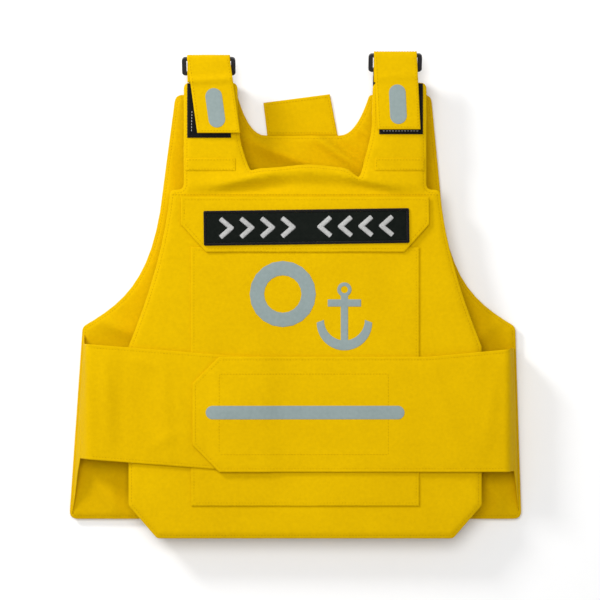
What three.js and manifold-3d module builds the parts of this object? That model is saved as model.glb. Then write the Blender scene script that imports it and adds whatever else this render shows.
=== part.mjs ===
// Inflatable life jacket cut as a vest, lying closed on its back: +X is the viewer's right,
// +Y points to the shoulders and +Z out of the chest. Millimetres, origin under the middle.
import * as THREE from "three";
import { mergeVertices } from "three/addons/utils/BufferGeometryUtils.js";
import Module from "manifold-3d";

const wasm = await Module();
wasm.setup();

// ---------------------------------------------------------------- driving dimensions

const OVERALL_WIDTH = 513; // across the lower corners of the back panel
const OVERALL_LENGTH = 546; // front hem to the fold of the higher shoulder strap
const GAP = 0.3; // between pieces that touch
const ARC_STEPS = 10;
const ROUND_STEPS = 28;

// Cloth and fill
const CLOTH = 1.4; // coated cover cloth with its turned seam
const SEAM_WALL = 2; // side wall of a cover, where its seam is piped
const BACK_FILL = 5; // flat bladder in the back
const FRONT_FILL = 20; // folded bladder in the front, unless the gear beside it needs more
const BODY_GAP = 8; // between the two linings, where the wearer goes
const BLADDER_PLAY = 1; // bladder to the inside of its cover

// Back panel: heights run down from the strap fold or up from the front hem
const BACK_LEAN = 9; // its neck lies this far to +X of its hem
const BACK_HEM_RISE = 19;
const BACK_SIDE_HEIGHT = 237; // front hem to the back's armhole
const BACK_SIDE_TAPER = 11; // the side leans in by this from corner to armhole
const BACK_SHOULDER_DROP = 46;
const BACK_SHOULDER_HALF = 145;
const BACK_NECK_HALF = 75;
const BACK_NECK_FLAT = 42;
const BACK_NECK_DROP = 92;

// Front panel
const FRONT_SHIFT = 11; // its centre line lies this far to +X
const FRONT_HALF = 198;
const FRONT_SIDE_HEIGHT = 215;
const HEM_CHAMFER_ACROSS = 32;
const HEM_CHAMFER_UP = 37;
const CHEST_HALF = 151;
const CHEST_DROP = 155; // strap fold to where the shoulder tabs meet the chest
const TAB_OUTER = 136;
const TAB_INNER = 76;
const TAB_DROP = 35;
const NECK_DROP = 131;
const NECK_FLAT = 61;

// Pocket panel, chest flap and its patch
const POCKET_HALF = 128;
const POCKET_HEM_RISE = 36.5;
const FLAP_HALF = 139;
const FLAP_DROP = 163;
const FLAP_HEIGHT = 62;
const FLAP_CHAMFER_ACROSS = 28;
const FLAP_CHAMFER_UP = 31;
const FLAP_CLOTH = 1.6;
const PATCH_LENGTH = 230;
const PATCH_HEIGHT = 39;
const PATCH_BORDER = 3;
const PATCH_BASE = 1.2;
const PATCH_BORDER_THICK = 2;
const PATCH_TILT = 0.8;
const FILM = 0.5; // heat-bonded reflective film

// Access bay behind the chest flap, measured from the front's centre line
const BAY_HALF = 104;
const BAY_MARGIN = 6; // flap edge to the bay's window

// Shoulder straps, rings and tapes
const STRAP_WIDTH = 48;
const STRAP = 2;
const STRAP_FLAP_LENGTH = 88;
const RING_BAR = 3.6;
const RING_SPACING = 18; // between the middles of its two long bars
const RING_PLAY = 1; // strap edge to side bar
const RING_SIDE_BAR = 5;
const RING_CORNER = 4;
const WEBBING = 1.6;
const WEBBING_WIDTH = 48;
const WEBBING_PLAY = 1; // webbing edge to side bar
const TAPE_WIDTH = 49;
const TAPE = 1.8;
const HOOK_WIDTH = 42;
const HOOK_LENGTH = 50;
const TAB_PATCH_WIDTH = 56;
const TAB_PATCH_HEIGHT = 14;
const TAB_PATCH_DROP = 134;
const TAB_PATCH = 0.8;
const STRAP_FILM_WIDTH = 18.5;
const STRAP_FILM_LENGTH = 44;
const SHOULDERS = [
  { side: "left", middle: -97, drop: 4, skew: 11.5, tapeShift: 0.5, tab: -1 },
  { side: "right", middle: 112, drop: 0, skew: 4, tapeShift: 6.5, tab: 1 },
];

// Neck tab on the back neckline
const NECK_TAB_MARGIN = 2; // flat neckline left on each side of it
const NECK_TAB_SHORT = 37;
const NECK_TAB_LONG = 47;
const NECK_TAB_LEAN = 9; // its free end lies this far to -X of its root
const NECK_TAB_CLOTH = 1.6;

// Waistband: two bands that fold up from the back's sides and cross the front
const BAND_HEM_RISE = 75;
const BAND_HEIGHT = 129;
const BAND_CLOTH = 1.6;
const BAND_CHAMFER = 30;
const BAND_RISE = 9; // its edges climb by this towards the fold
const OUTER_FOLD_INSET = 8; // overall side to the fold of the outer band
const UNDER_FOLD_INSET = 21.7;
const OUTER_TIP_X = -115;
const UNDER_TIP_X = -40;
const UNDER_DROP = 15; // the under band's tip lies lower than its fold
const UNDER_RISE = 14; // and its fold higher than the outer band
const HOOK_PANEL = 0.8;
const HOOK_PANEL_LENGTH = 193;
const HOOK_PANEL_HEIGHT = 94;
const HOOK_PANEL_INSET = 28; // from the tip
const LOOP_PANEL_LENGTH = 66;
const LOOP_PANEL_HEIGHT = 90;
const LOOP_PANEL_INSET = 4;
const BAR_LENGTH = 222;
const BAR_HEIGHT = 15;

// Emblem on the pocket panel: a ring buoy and an anchor
const BUOY_RADIUS = 37;
const BUOY_HOLE = 21;
const BUOY_X = -14;
const BUOY_DROP = 272;
const ANCHOR_X = 55;
const ANCHOR_DROP = 297;
const ANCHOR_HEIGHT = 76;
const ANCHOR_WIDTH = 62;
const ANCHOR_STROKE = 8;

// Inflation gear, in the bay
const INFLATOR_LENGTH = 32;
const INFLATOR_WIDTH = 38;
const INFLATOR_HEIGHT = 18.4; // unless its cylinder needs more
const INFLATOR_CORNER = 5;
const INFLATOR_INSET = 8; // from the bay's end
const CYLINDER_RADIUS = 9;
const CYLINDER_HEADROOM = 0.4; // cylinder to the top of the inflator
const CYLINDER_LENGTH = 86;
const CYLINDER_NECK_RADIUS = 4.5;
const CYLINDER_NECK_LENGTH = 8;
const CYLINDER_SHOULDER = 9;
const NUT_RADIUS = 8;
const NUT_LENGTH = 5.5;
const LEVER_LENGTH = 24;
const LEVER_WIDTH = 8;
const LEVER_THICK = 2.2;
const LEVER_IN_WINDOW = 0.9; // how far it stands up into the bay's window
const CORD_RADIUS = 0.7;
const CORD_LENGTH = 5;
const TOGGLE_RADIUS = 1.1;
const TOGGLE_LENGTH = 12;
const INDICATOR_RADIUS = 3;
const INDICATOR_HEIGHT = 1.2;
const TUBE_RADIUS = 5.5;
const TUBE_LENGTH = 64;
const VALVE_RADIUS = 6.2;
const VALVE_LENGTH = 14;
const CAP_RADIUS = 7;
const CAP_LENGTH = 12;
const TUBE_SPACING = 19; // between the cylinder's middle line and the tube's

// ---------------------------------------------------------------- derived levels

const TOP = OVERALL_LENGTH / 2;
const HEM = -TOP;
const backTop = CLOTH + GAP + BACK_FILL + GAP + CLOTH;
const frontBottom = backTop + BODY_GAP;
const frontFillBottom = frontBottom + CLOTH + GAP;
const inflatorHeight = Math.max(INFLATOR_HEIGHT, 2 * CYLINDER_RADIUS + CYLINDER_HEADROOM);
const leverTop = inflatorHeight + GAP + LEVER_THICK;
const frontFill = Math.max(FRONT_FILL, leverTop - LEVER_IN_WINDOW);
const frontTop = frontFillBottom + frontFill + GAP + CLOTH;
const pocketBottom = frontTop + GAP;
const pocketTop = pocketBottom + CLOTH;
const flapBottom = pocketTop + GAP;
const flapTop = flapBottom + FLAP_CLOTH;
const underBandBottom = pocketTop + GAP;
const underBandTop = underBandBottom + BAND_CLOTH;
const loopPanelBottom = underBandTop + GAP;
const hookPanelBottom = loopPanelBottom + HOOK_PANEL + GAP;
const outerBandBottom = hookPanelBottom + HOOK_PANEL + GAP;
const outerBandTop = outerBandBottom + BAND_CLOTH;

const tabTop = TOP - TAB_DROP;
const flapRootY = TOP - FLAP_DROP;
const flapTipY = flapRootY - FLAP_HEIGHT;
const bandBottomY = HEM + BAND_HEM_RISE;
const bandTopY = bandBottomY + BAND_HEIGHT;
const outerFoldX = OVERALL_WIDTH / 2 - OUTER_FOLD_INSET;
const underFoldX = -(OVERALL_WIDTH / 2 - UNDER_FOLD_INSET);

// The strap goes over the ring's lower bar, under its upper bar and back on top.
const barWrap = (RING_BAR * Math.SQRT2) / 2 + GAP; // clears a square bar's corners
const loopTapeBottom = frontTop + GAP;
const hookTapeBottom = loopTapeBottom + TAPE + GAP;
const strapFlapBottom = hookTapeBottom + TAPE + GAP;
const upperBarZ = strapFlapBottom - barWrap;
const strapBottom = upperBarZ - barWrap - STRAP;
const lowerBarZ = strapBottom - GAP - WEBBING - barWrap;
const ringTilt = Math.asin((upperBarZ - lowerBarZ) / RING_SPACING);
const lowerBarReach = RING_SPACING * Math.cos(ringTilt);

// ---------------------------------------------------------------- finishes

const FINISHES = {
  shell: { color: 0xe2b805, roughness: 0.75, metalness: 0 },
  lining: { color: 0xd6a804, roughness: 0.8, metalness: 0 },
  bladder: { color: 0xd9a21b, roughness: 0.5, metalness: 0 },
  loop: { color: 0x17171a, roughness: 0.95, metalness: 0 },
  webbing: { color: 0x1a1a1d, roughness: 0.85, metalness: 0 },
  patch: { color: 0x10140f, roughness: 0.9, metalness: 0 },
  ring: { color: 0x1b1a20, roughness: 0.4, metalness: 0 },
  film: { color: 0x93a2a5, roughness: 0.45, metalness: 0 },
  gear: { color: 0x24262a, roughness: 0.4, metalness: 0 },
  steel: { color: 0xb9bcc0, roughness: 0.3, metalness: 1 },
  toggle: { color: 0xc8281e, roughness: 0.45, metalness: 0 },
  indicator: { color: 0x2f9a4a, roughness: 0.35, metalness: 0 },
};

// ---------------------------------------------------------------- building helpers

const jacket = new THREE.Group();

// Names a geometry, gives it its finish and adds it to the jacket.
function addPiece(name, geometry, finish) {
  const mesh = new THREE.Mesh(geometry, new THREE.MeshStandardMaterial(FINISHES[finish]));
  mesh.name = name;
  jacket.add(mesh);
}

// A flat piece: its outline in plan, its lowest level and its thickness.
function plate(outline, bottom, thickness) {
  const shape = outline instanceof THREE.Shape ? outline : new THREE.Shape(outline);
  const settings = { depth: thickness, bevelEnabled: false, curveSegments: ARC_STEPS };
  return new THREE.ExtrudeGeometry(shape, settings).translate(0, 0, bottom);
}

// A piece of one section in Y and Z all along X.
function alongX(section, middleX, width) {
  const settings = { depth: width, bevelEnabled: false, curveSegments: ARC_STEPS };
  const standing = new THREE.Matrix4().makeBasis(
    new THREE.Vector3(0, 1, 0),
    new THREE.Vector3(0, 0, 1),
    new THREE.Vector3(1, 0, 0),
  );
  const shape = section instanceof THREE.Shape ? section : new THREE.Shape(section);
  const geometry = new THREE.ExtrudeGeometry(shape, settings);
  return geometry.applyMatrix4(standing).translate(middleX - width / 2, 0, 0);
}

// A turned piece on an axis along X: [radius, x] pairs from one end to the other.
function turnedX(profile, y, z) {
  const points = profile.map(([radius, x]) => new THREE.Vector2(radius, x));
  const geometry = new THREE.LatheGeometry(points, ROUND_STEPS);
  return geometry.rotateZ(-Math.PI / 2).translate(0, y, z);
}

function rod(radius, x0, x1, y, z) {
  return turnedX([[0, x0], [radius, x0], [radius, x1], [0, x1]], y, z);
}

function block(x0, x1, y0, y1, z0, z1) {
  const geometry = new THREE.BoxGeometry(x1 - x0, y1 - y0, z1 - z0);
  return geometry.translate((x0 + x1) / 2, (y0 + y1) / 2, (z0 + z1) / 2);
}

function toSolid(geometry) {
  const bare = geometry.clone();
  bare.deleteAttribute("normal");
  bare.deleteAttribute("uv");
  const merged = mergeVertices(bare, 1e-4);
  const triVerts = new Uint32Array(merged.index.array);
  const vertProperties = new Float32Array(merged.attributes.position.array);
  return new wasm.Manifold(new wasm.Mesh({ numProp: 3, vertProperties, triVerts }));
}

function toGeometry(solid) {
  const { vertProperties, triVerts } = solid.getMesh();
  const geometry = new THREE.BufferGeometry();
  geometry.setAttribute("position", new THREE.BufferAttribute(vertProperties, 3));
  geometry.setIndex(new THREE.BufferAttribute(triVerts, 1));
  return geometry;
}

function cut(geometry, ...tools) {
  let solid = toSolid(geometry);
  for (const tool of tools) solid = solid.subtract(toSolid(tool));
  return toGeometry(solid);
}

function join(...geometries) {
  const [first, ...rest] = geometries.map(toSolid);
  return toGeometry(rest.reduce((sum, solid) => sum.add(solid), first));
}

// ---------------------------------------------------------------- outlines

// Both halves of an outline, from its +X half drawn from the hem's middle to the neck's.
function mirrored(half, shiftAt) {
  const right = half.getPoints(ARC_STEPS);
  const left = right.slice(1, -1).reverse();
  const both = [...right, ...left.map(({ x, y }) => new THREE.Vector2(-x, y))];
  return both.map(({ x, y }) => new THREE.Vector2(x + shiftAt(y), y));
}

function inwardNormal(from, to) {
  return new THREE.Vector2(from.y - to.y, to.x - from.x).normalize();
}

// The outline moved inwards by the same distance all round.
function inset(outline, distance) {
  return outline.map((point, i) => {
    const before = inwardNormal(outline.at(i - 1), point);
    const after = inwardNormal(point, outline[(i + 1) % outline.length]);
    const reach = distance / (1 + before.dot(after));
    return point.clone().addScaledVector(before.add(after), reach);
  });
}

function rectangle(middleX, middleY, width, height) {
  const x = width / 2;
  const y = height / 2;
  const corners = [[-x, -y], [x, -y], [x, y], [-x, y]];
  return corners.map(([cx, cy]) => new THREE.Vector2(middleX + cx, middleY + cy));
}

function polygon(...points) {
  return points.map(([x, y]) => new THREE.Vector2(x, y));
}

// A rectangle whose corners are rounded; a radius of half its width gives round ends.
function roundedRectangle(middleX, middleY, width, height, radius) {
  const [x, y] = [width / 2 - radius, height / 2 - radius];
  const shape = new THREE.Shape();
  shape.absarc(middleX + x, middleY - y, radius, -Math.PI / 2, 0);
  shape.absarc(middleX + x, middleY + y, radius, 0, Math.PI / 2);
  shape.absarc(middleX - x, middleY + y, radius, Math.PI / 2, Math.PI);
  shape.absarc(middleX - x, middleY - y, radius, Math.PI, 1.5 * Math.PI);
  return shape;
}

// A strip of even thickness that follows a bent line.
function ribbon(points, thickness) {
  const line = polygon(...points);
  const normals = line.slice(1).map((point, i) => inwardNormal(line[i], point));
  const sides = line.map((point, i) => {
    const before = normals[Math.max(i - 1, 0)];
    const after = normals[Math.min(i, normals.length - 1)];
    const offset = before.clone().add(after);
    offset.multiplyScalar(thickness / 2 / (1 + before.dot(after)));
    return [point.clone().sub(offset), point.clone().add(offset)];
  });
  const right = sides.map(([low]) => low);
  const left = sides.map(([, high]) => high).reverse();
  return [...right, ...left];
}

function backLean(y) {
  const foot = HEM + BACK_HEM_RISE;
  return (BACK_LEAN * (y - foot)) / (TOP - BACK_SHOULDER_DROP - foot);
}

function backOutline() {
  const hem = HEM + BACK_HEM_RISE;
  const corner = OVERALL_WIDTH / 2;
  const sideTop = [corner - BACK_SIDE_TAPER, HEM + BACK_SIDE_HEIGHT];
  const shoulder = TOP - BACK_SHOULDER_DROP;
  const neck = TOP - BACK_NECK_DROP;
  const armholeTop = [BACK_SHOULDER_HALF + 15, sideTop[1] + 131];
  const half = new THREE.Path();
  half.moveTo(0, hem);
  half.lineTo(corner, hem);
  half.lineTo(...sideTop);
  half.bezierCurveTo(
    sideTop[0] - 45, sideTop[1] + 26,
    armholeTop[0] + 12, armholeTop[1] - 80,
    ...armholeTop,
  );
  half.lineTo(BACK_SHOULDER_HALF, shoulder);
  half.lineTo(BACK_NECK_HALF, shoulder);
  half.bezierCurveTo(
    BACK_NECK_HALF - 7, (shoulder + neck) / 2,
    BACK_NECK_FLAT + 16, neck,
    BACK_NECK_FLAT, neck,
  );
  half.lineTo(0, neck);
  return mirrored(half, backLean);
}

function frontOutline() {
  const sideTop = HEM + FRONT_SIDE_HEIGHT;
  const chest = TOP - CHEST_DROP;
  const neck = TOP - NECK_DROP;
  const half = new THREE.Path();
  half.moveTo(0, HEM);
  half.lineTo(FRONT_HALF - HEM_CHAMFER_ACROSS, HEM);
  half.lineTo(FRONT_HALF, HEM + HEM_CHAMFER_UP);
  half.lineTo(FRONT_HALF, sideTop);
  half.bezierCurveTo(
    FRONT_HALF - 11, sideTop + 28,
    CHEST_HALF + 7, chest - 78,
    CHEST_HALF, chest,
  );
  half.lineTo(TAB_OUTER, chest);
  half.lineTo(TAB_OUTER, tabTop);
  half.lineTo(TAB_INNER, tabTop);
  half.lineTo(TAB_INNER - 1, (tabTop + neck) / 2);
  half.bezierCurveTo(
    TAB_INNER - 3, (tabTop + neck) / 2 - 20,
    NECK_FLAT + 7, neck + 13,
    NECK_FLAT, neck,
  );
  half.lineTo(0, neck);
  return mirrored(half, () => FRONT_SHIFT);
}

// ---------------------------------------------------------------- back panel

function addBackPanel() {
  const outline = backOutline();
  const height = backTop - CLOTH - GAP;
  const hollow = plate(inset(outline, SEAM_WALL), CLOTH, height);
  addPiece("back_cover", cut(plate(outline, 0, height), hollow), "shell");
  const bladder = inset(outline, SEAM_WALL + BLADDER_PLAY);
  addPiece("back_bladder", plate(bladder, CLOTH + GAP, BACK_FILL), "bladder");
  addPiece("back_lining", plate(outline, backTop - CLOTH, CLOTH), "lining");
}

function addNeckTab() {
  const root = TOP - BACK_NECK_DROP + GAP;
  const middle = backLean(root);
  const half = BACK_NECK_FLAT - NECK_TAB_MARGIN;
  const outline = polygon(
    [middle - half, root],
    [middle + half, root],
    [middle + half - NECK_TAB_LEAN, root + NECK_TAB_LONG],
    [middle - half - NECK_TAB_LEAN / 2, root + NECK_TAB_SHORT],
  );
  addPiece("neck_tab", plate(outline, 0, NECK_TAB_CLOTH), "shell");
}

// ---------------------------------------------------------------- front panel

function bayBox(bottom, top, play) {
  return block(
    FRONT_SHIFT - BAY_HALF - play, FRONT_SHIFT + BAY_HALF + play,
    flapTipY + BAY_MARGIN - play, flapRootY - BAY_MARGIN + play,
    bottom, top,
  );
}

function addFrontPanel() {
  const outline = frontOutline();
  const hollow = plate(inset(outline, SEAM_WALL), frontBottom, frontTop - CLOTH - frontBottom);
  const whole = plate(outline, frontFillBottom, frontTop - frontFillBottom);
  const access = bayBox(frontBottom, frontTop + CLOTH, 0);
  addPiece("front_cover", cut(whole, hollow, access), "shell");
  const pad = plate(inset(outline, SEAM_WALL + BLADDER_PLAY), frontFillBottom, frontFill);
  const bay = bayBox(frontBottom, frontTop, BLADDER_PLAY);
  addPiece("front_bladder", cut(pad, bay), "bladder");
  addPiece("front_lining", plate(outline, frontBottom, CLOTH), "lining");
}

function addPocketPanel() {
  const low = HEM + POCKET_HEM_RISE;
  const high = flapTipY + BAY_MARGIN - GAP;
  const outline = rectangle(FRONT_SHIFT, (low + high) / 2, 2 * POCKET_HALF, high - low);
  addPiece("pocket_panel", plate(outline, pocketBottom, CLOTH), "shell");
}

function addChestFlap() {
  const chamfered = flapTipY + FLAP_CHAMFER_UP;
  const outline = polygon(
    [FRONT_SHIFT - FLAP_HALF + FLAP_CHAMFER_ACROSS, flapTipY],
    [FRONT_SHIFT + FLAP_HALF - FLAP_CHAMFER_ACROSS, flapTipY],
    [FRONT_SHIFT + FLAP_HALF, chamfered],
    [FRONT_SHIFT + FLAP_HALF, flapRootY],
    [FRONT_SHIFT - FLAP_HALF, flapRootY],
    [FRONT_SHIFT - FLAP_HALF, chamfered],
  );
  addPiece("chest_flap", plate(outline, flapBottom, FLAP_CLOTH), "shell");

  const middleY = (flapRootY + flapTipY) / 2 - 3;
  const bottom = flapTop + GAP;
  const faceLength = PATCH_LENGTH - 2 * PATCH_BORDER;
  const faceHeight = PATCH_HEIGHT - 2 * PATCH_BORDER;
  const place = (geometry) => {
    geometry.rotateZ(THREE.MathUtils.degToRad(PATCH_TILT));
    return geometry.translate(FRONT_SHIFT + 1.5, middleY, 0);
  };
  const face = plate(rectangle(0, 0, faceLength, faceHeight), bottom, PATCH_BASE);
  addPiece("patch_face", place(face), "patch");
  const border = new THREE.Shape(rectangle(0, 0, PATCH_LENGTH, PATCH_HEIGHT));
  const inside = rectangle(0, 0, faceLength + 2 * GAP, faceHeight + 2 * GAP);
  border.holes.push(new THREE.Path(inside));
  addPiece("patch_border", place(plate(border, bottom, PATCH_BORDER_THICK)), "patch");
}

function addEmblem() {
  const bottom = pocketTop + GAP;
  const buoy = new THREE.Shape();
  buoy.absarc(BUOY_X, TOP - BUOY_DROP, BUOY_RADIUS, 0, 2 * Math.PI);
  const hole = new THREE.Path();
  hole.absarc(BUOY_X, TOP - BUOY_DROP, BUOY_HOLE, 0, 2 * Math.PI, true);
  buoy.holes.push(hole);
  addPiece("emblem_buoy", plate(buoy, bottom, FILM), "film");

  const y = TOP - ANCHOR_DROP;
  const half = ANCHOR_HEIGHT / 2;
  const shackle = new THREE.Shape();
  shackle.absarc(ANCHOR_X, y + half - ANCHOR_STROKE, ANCHOR_STROKE, 0, 2 * Math.PI);
  const eye = new THREE.Path();
  eye.absarc(ANCHOR_X, y + half - ANCHOR_STROKE, ANCHOR_STROKE / 2, 0, 2 * Math.PI, true);
  shackle.holes.push(eye);
  const armRadius = ANCHOR_WIDTH / 2;
  const arms = new THREE.Shape();
  arms.absarc(ANCHOR_X, y - half + armRadius, armRadius, Math.PI, 2 * Math.PI);
  arms.absarc(ANCHOR_X, y - half + armRadius + 3, armRadius - ANCHOR_STROKE, 2 * Math.PI, Math.PI, true);
  const shankTop = y + half - 2 * ANCHOR_STROKE + 1;
  const shankLow = y - half + 2;
  const shankMiddle = (shankTop + shankLow) / 2;
  const shank = rectangle(ANCHOR_X, shankMiddle, ANCHOR_STROKE, shankTop - shankLow);
  const stock = rectangle(ANCHOR_X, shankTop - ANCHOR_STROKE, 0.6 * ANCHOR_WIDTH, ANCHOR_STROKE);
  const strokes = [shackle, arms, shank, stock].map((shape) => plate(shape, bottom, FILM));
  addPiece("emblem_anchor", join(...strokes), "film");
}

// ---------------------------------------------------------------- shoulders

function addShoulder({ side, middle, drop, skew, tapeShift, tab }) {
  const wrapOuter = barWrap + STRAP;
  const foldTop = TOP - drop;
  const barY = foldTop - wrapOuter;
  const lowerBarY = barY - lowerBarReach;
  const tipY = foldTop - STRAP_FLAP_LENGTH;

  const strap = new THREE.Shape();
  strap.moveTo(tabTop + GAP, strapBottom);
  strap.lineTo(barY, strapBottom);
  strap.absarc(barY, upperBarZ, wrapOuter, -Math.PI / 2, Math.PI / 2, false);
  strap.lineTo(barY, upperBarZ + barWrap);
  strap.absarc(barY, upperBarZ, barWrap, Math.PI / 2, -Math.PI / 2, true);
  strap.lineTo(tabTop + GAP, strapBottom + STRAP);
  addPiece(`${side}_strap`, alongX(strap, middle, STRAP_WIDTH), "shell");

  const strapRoom = STRAP_WIDTH + 2 * RING_PLAY;
  const webbingRoom = WEBBING_WIDTH + 2 * WEBBING_PLAY;
  const windowWidth = Math.max(strapRoom, webbingRoom);
  const ringWidth = windowWidth + 2 * RING_SIDE_BAR;
  const ringHeight = RING_SPACING + RING_BAR;
  const ring = roundedRectangle(0, -RING_SPACING / 2, ringWidth, ringHeight, RING_CORNER);
  const windowHeight = RING_SPACING - RING_BAR;
  ring.holes.push(new THREE.Path(rectangle(0, -RING_SPACING / 2, windowWidth, windowHeight)));
  const ringGeometry = plate(ring, -RING_BAR / 2, RING_BAR).rotateX(ringTilt);
  addPiece(`${side}_ring`, ringGeometry.translate(middle, barY, upperBarZ), "ring");

  const backShoulder = TOP - BACK_SHOULDER_DROP;
  const webbingLow = backTop / 2;
  const route = [
    [backShoulder + GAP, webbingLow],
    [lowerBarY - 5, webbingLow],
    [lowerBarY, lowerBarZ],
  ];
  const wrap = new THREE.Shape();
  wrap.absarc(lowerBarY, lowerBarZ, barWrap + WEBBING, 0, 2 * Math.PI);
  const bore = new THREE.Shape();
  bore.absarc(lowerBarY, lowerBarZ, barWrap, 0, 2 * Math.PI);
  const strip = alongX(ribbon(route, WEBBING), middle, WEBBING_WIDTH);
  const looped = join(strip, alongX(wrap, middle, WEBBING_WIDTH));
  const holder = cut(looped, alongX(bore, middle, WEBBING_WIDTH + 2));
  addPiece(`${side}_ring_webbing`, holder, "webbing");

  // The free end runs from the fold down over the tape, drifting sideways by its skew.
  const rootY = barY - GAP;
  const driftAt = (y) => middle + (skew * (rootY - y)) / (rootY - tipY);
  const free = (y0, y1, width) => polygon(
    [driftAt(y0) - width / 2, y0],
    [driftAt(y0) + width / 2, y0],
    [driftAt(y1) + width / 2, y1],
    [driftAt(y1) - width / 2, y1],
  );
  const freeEnd = plate(free(tipY, rootY, STRAP_WIDTH), strapFlapBottom, STRAP);
  addPiece(`${side}_strap_flap`, freeEnd, "shell");
  const hookLow = tipY + 3;
  const hook = plate(free(hookLow, hookLow + HOOK_LENGTH, HOOK_WIDTH), hookTapeBottom, TAPE);
  addPiece(`${side}_hook_tape`, hook, "loop");
  const tapeLow = tipY - 5;
  const tapeHigh = tabTop - 1;
  const tapeMiddle = (tapeLow + tapeHigh) / 2;
  const tape = rectangle(middle + tapeShift, tapeMiddle, TAPE_WIDTH, tapeHigh - tapeLow);
  addPiece(`${side}_loop_tape`, plate(tape, loopTapeBottom, TAPE), "loop");

  const film = roundedRectangle(
    0, 0, STRAP_FILM_WIDTH, STRAP_FILM_LENGTH, STRAP_FILM_WIDTH / 2 - 0.01,
  );
  const filmY = tipY + 6 + STRAP_FILM_LENGTH / 2;
  const filmGeometry = plate(film, strapFlapBottom + STRAP + GAP, FILM);
  filmGeometry.rotateZ(Math.atan(skew / (rootY - tipY)));
  const reflector = filmGeometry.translate(driftAt(filmY), filmY, 0);
  addPiece(`${side}_strap_reflector`, reflector, "film");

  const patchX = FRONT_SHIFT + (tab * (TAB_OUTER + TAB_INNER)) / 2;
  const patchY = TOP - TAB_PATCH_DROP + TAB_PATCH_HEIGHT / 2;
  const patch = rectangle(patchX, patchY, TAB_PATCH_WIDTH, TAB_PATCH_HEIGHT);
  addPiece(`${side}_tab_patch`, plate(patch, frontTop + GAP, TAB_PATCH), "shell");
}

// ---------------------------------------------------------------- waistband

function addOuterBand() {
  const outline = polygon(
    [OUTER_TIP_X + BAND_CHAMFER, bandBottomY],
    [outerFoldX, bandBottomY],
    [outerFoldX, bandTopY + BAND_RISE],
    [outerFoldX - 100, bandTopY],
    [OUTER_TIP_X + BAND_CHAMFER, bandTopY],
    [OUTER_TIP_X, bandTopY - BAND_CHAMFER],
    [OUTER_TIP_X, bandBottomY + BAND_CHAMFER],
  );
  addPiece("outer_band", plate(outline, outerBandBottom, BAND_CLOTH), "shell");
  const middleY = (bandBottomY + bandTopY) / 2;
  const panelX = OUTER_TIP_X + HOOK_PANEL_INSET + HOOK_PANEL_LENGTH / 2;
  const panel = rectangle(panelX, middleY, HOOK_PANEL_LENGTH, HOOK_PANEL_HEIGHT);
  addPiece("outer_hook_panel", plate(panel, hookPanelBottom, HOOK_PANEL), "loop");
  const barX = panelX + 1.5;
  const bar = roundedRectangle(barX, middleY + 2, BAR_LENGTH, BAR_HEIGHT, BAR_HEIGHT / 2 - 0.01);
  addPiece("outer_reflective_bar", plate(bar, outerBandTop + GAP, FILM), "film");
  const wallHigh = outerBandBottom - GAP;
  const wall = block(
    outerFoldX - BAND_CLOTH, outerFoldX,
    bandBottomY, bandTopY + BAND_RISE,
    backTop + GAP, wallHigh,
  );
  addPiece("outer_side_panel", wall, "shell");
}

function addUnderBand() {
  const foldLow = bandBottomY + UNDER_RISE;
  const foldHigh = bandTopY + UNDER_RISE;
  const outline = polygon(
    [underFoldX, foldLow],
    [UNDER_TIP_X, foldLow - UNDER_DROP],
    [UNDER_TIP_X, foldHigh - UNDER_DROP],
    [underFoldX, foldHigh],
  );
  addPiece("under_band", plate(outline, underBandBottom, BAND_CLOTH), "shell");
  const panel = rectangle(
    UNDER_TIP_X - LOOP_PANEL_INSET - LOOP_PANEL_LENGTH / 2,
    (foldLow + foldHigh) / 2 - UNDER_DROP,
    LOOP_PANEL_LENGTH,
    LOOP_PANEL_HEIGHT,
  );
  addPiece("under_loop_panel", plate(panel, loopPanelBottom, HOOK_PANEL), "loop");
  const wall = block(
    underFoldX, underFoldX + BAND_CLOTH,
    foldLow, foldHigh,
    backTop + GAP, underBandBottom - GAP,
  );
  addPiece("under_side_panel", wall, "shell");
}

// ---------------------------------------------------------------- inflation gear

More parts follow.
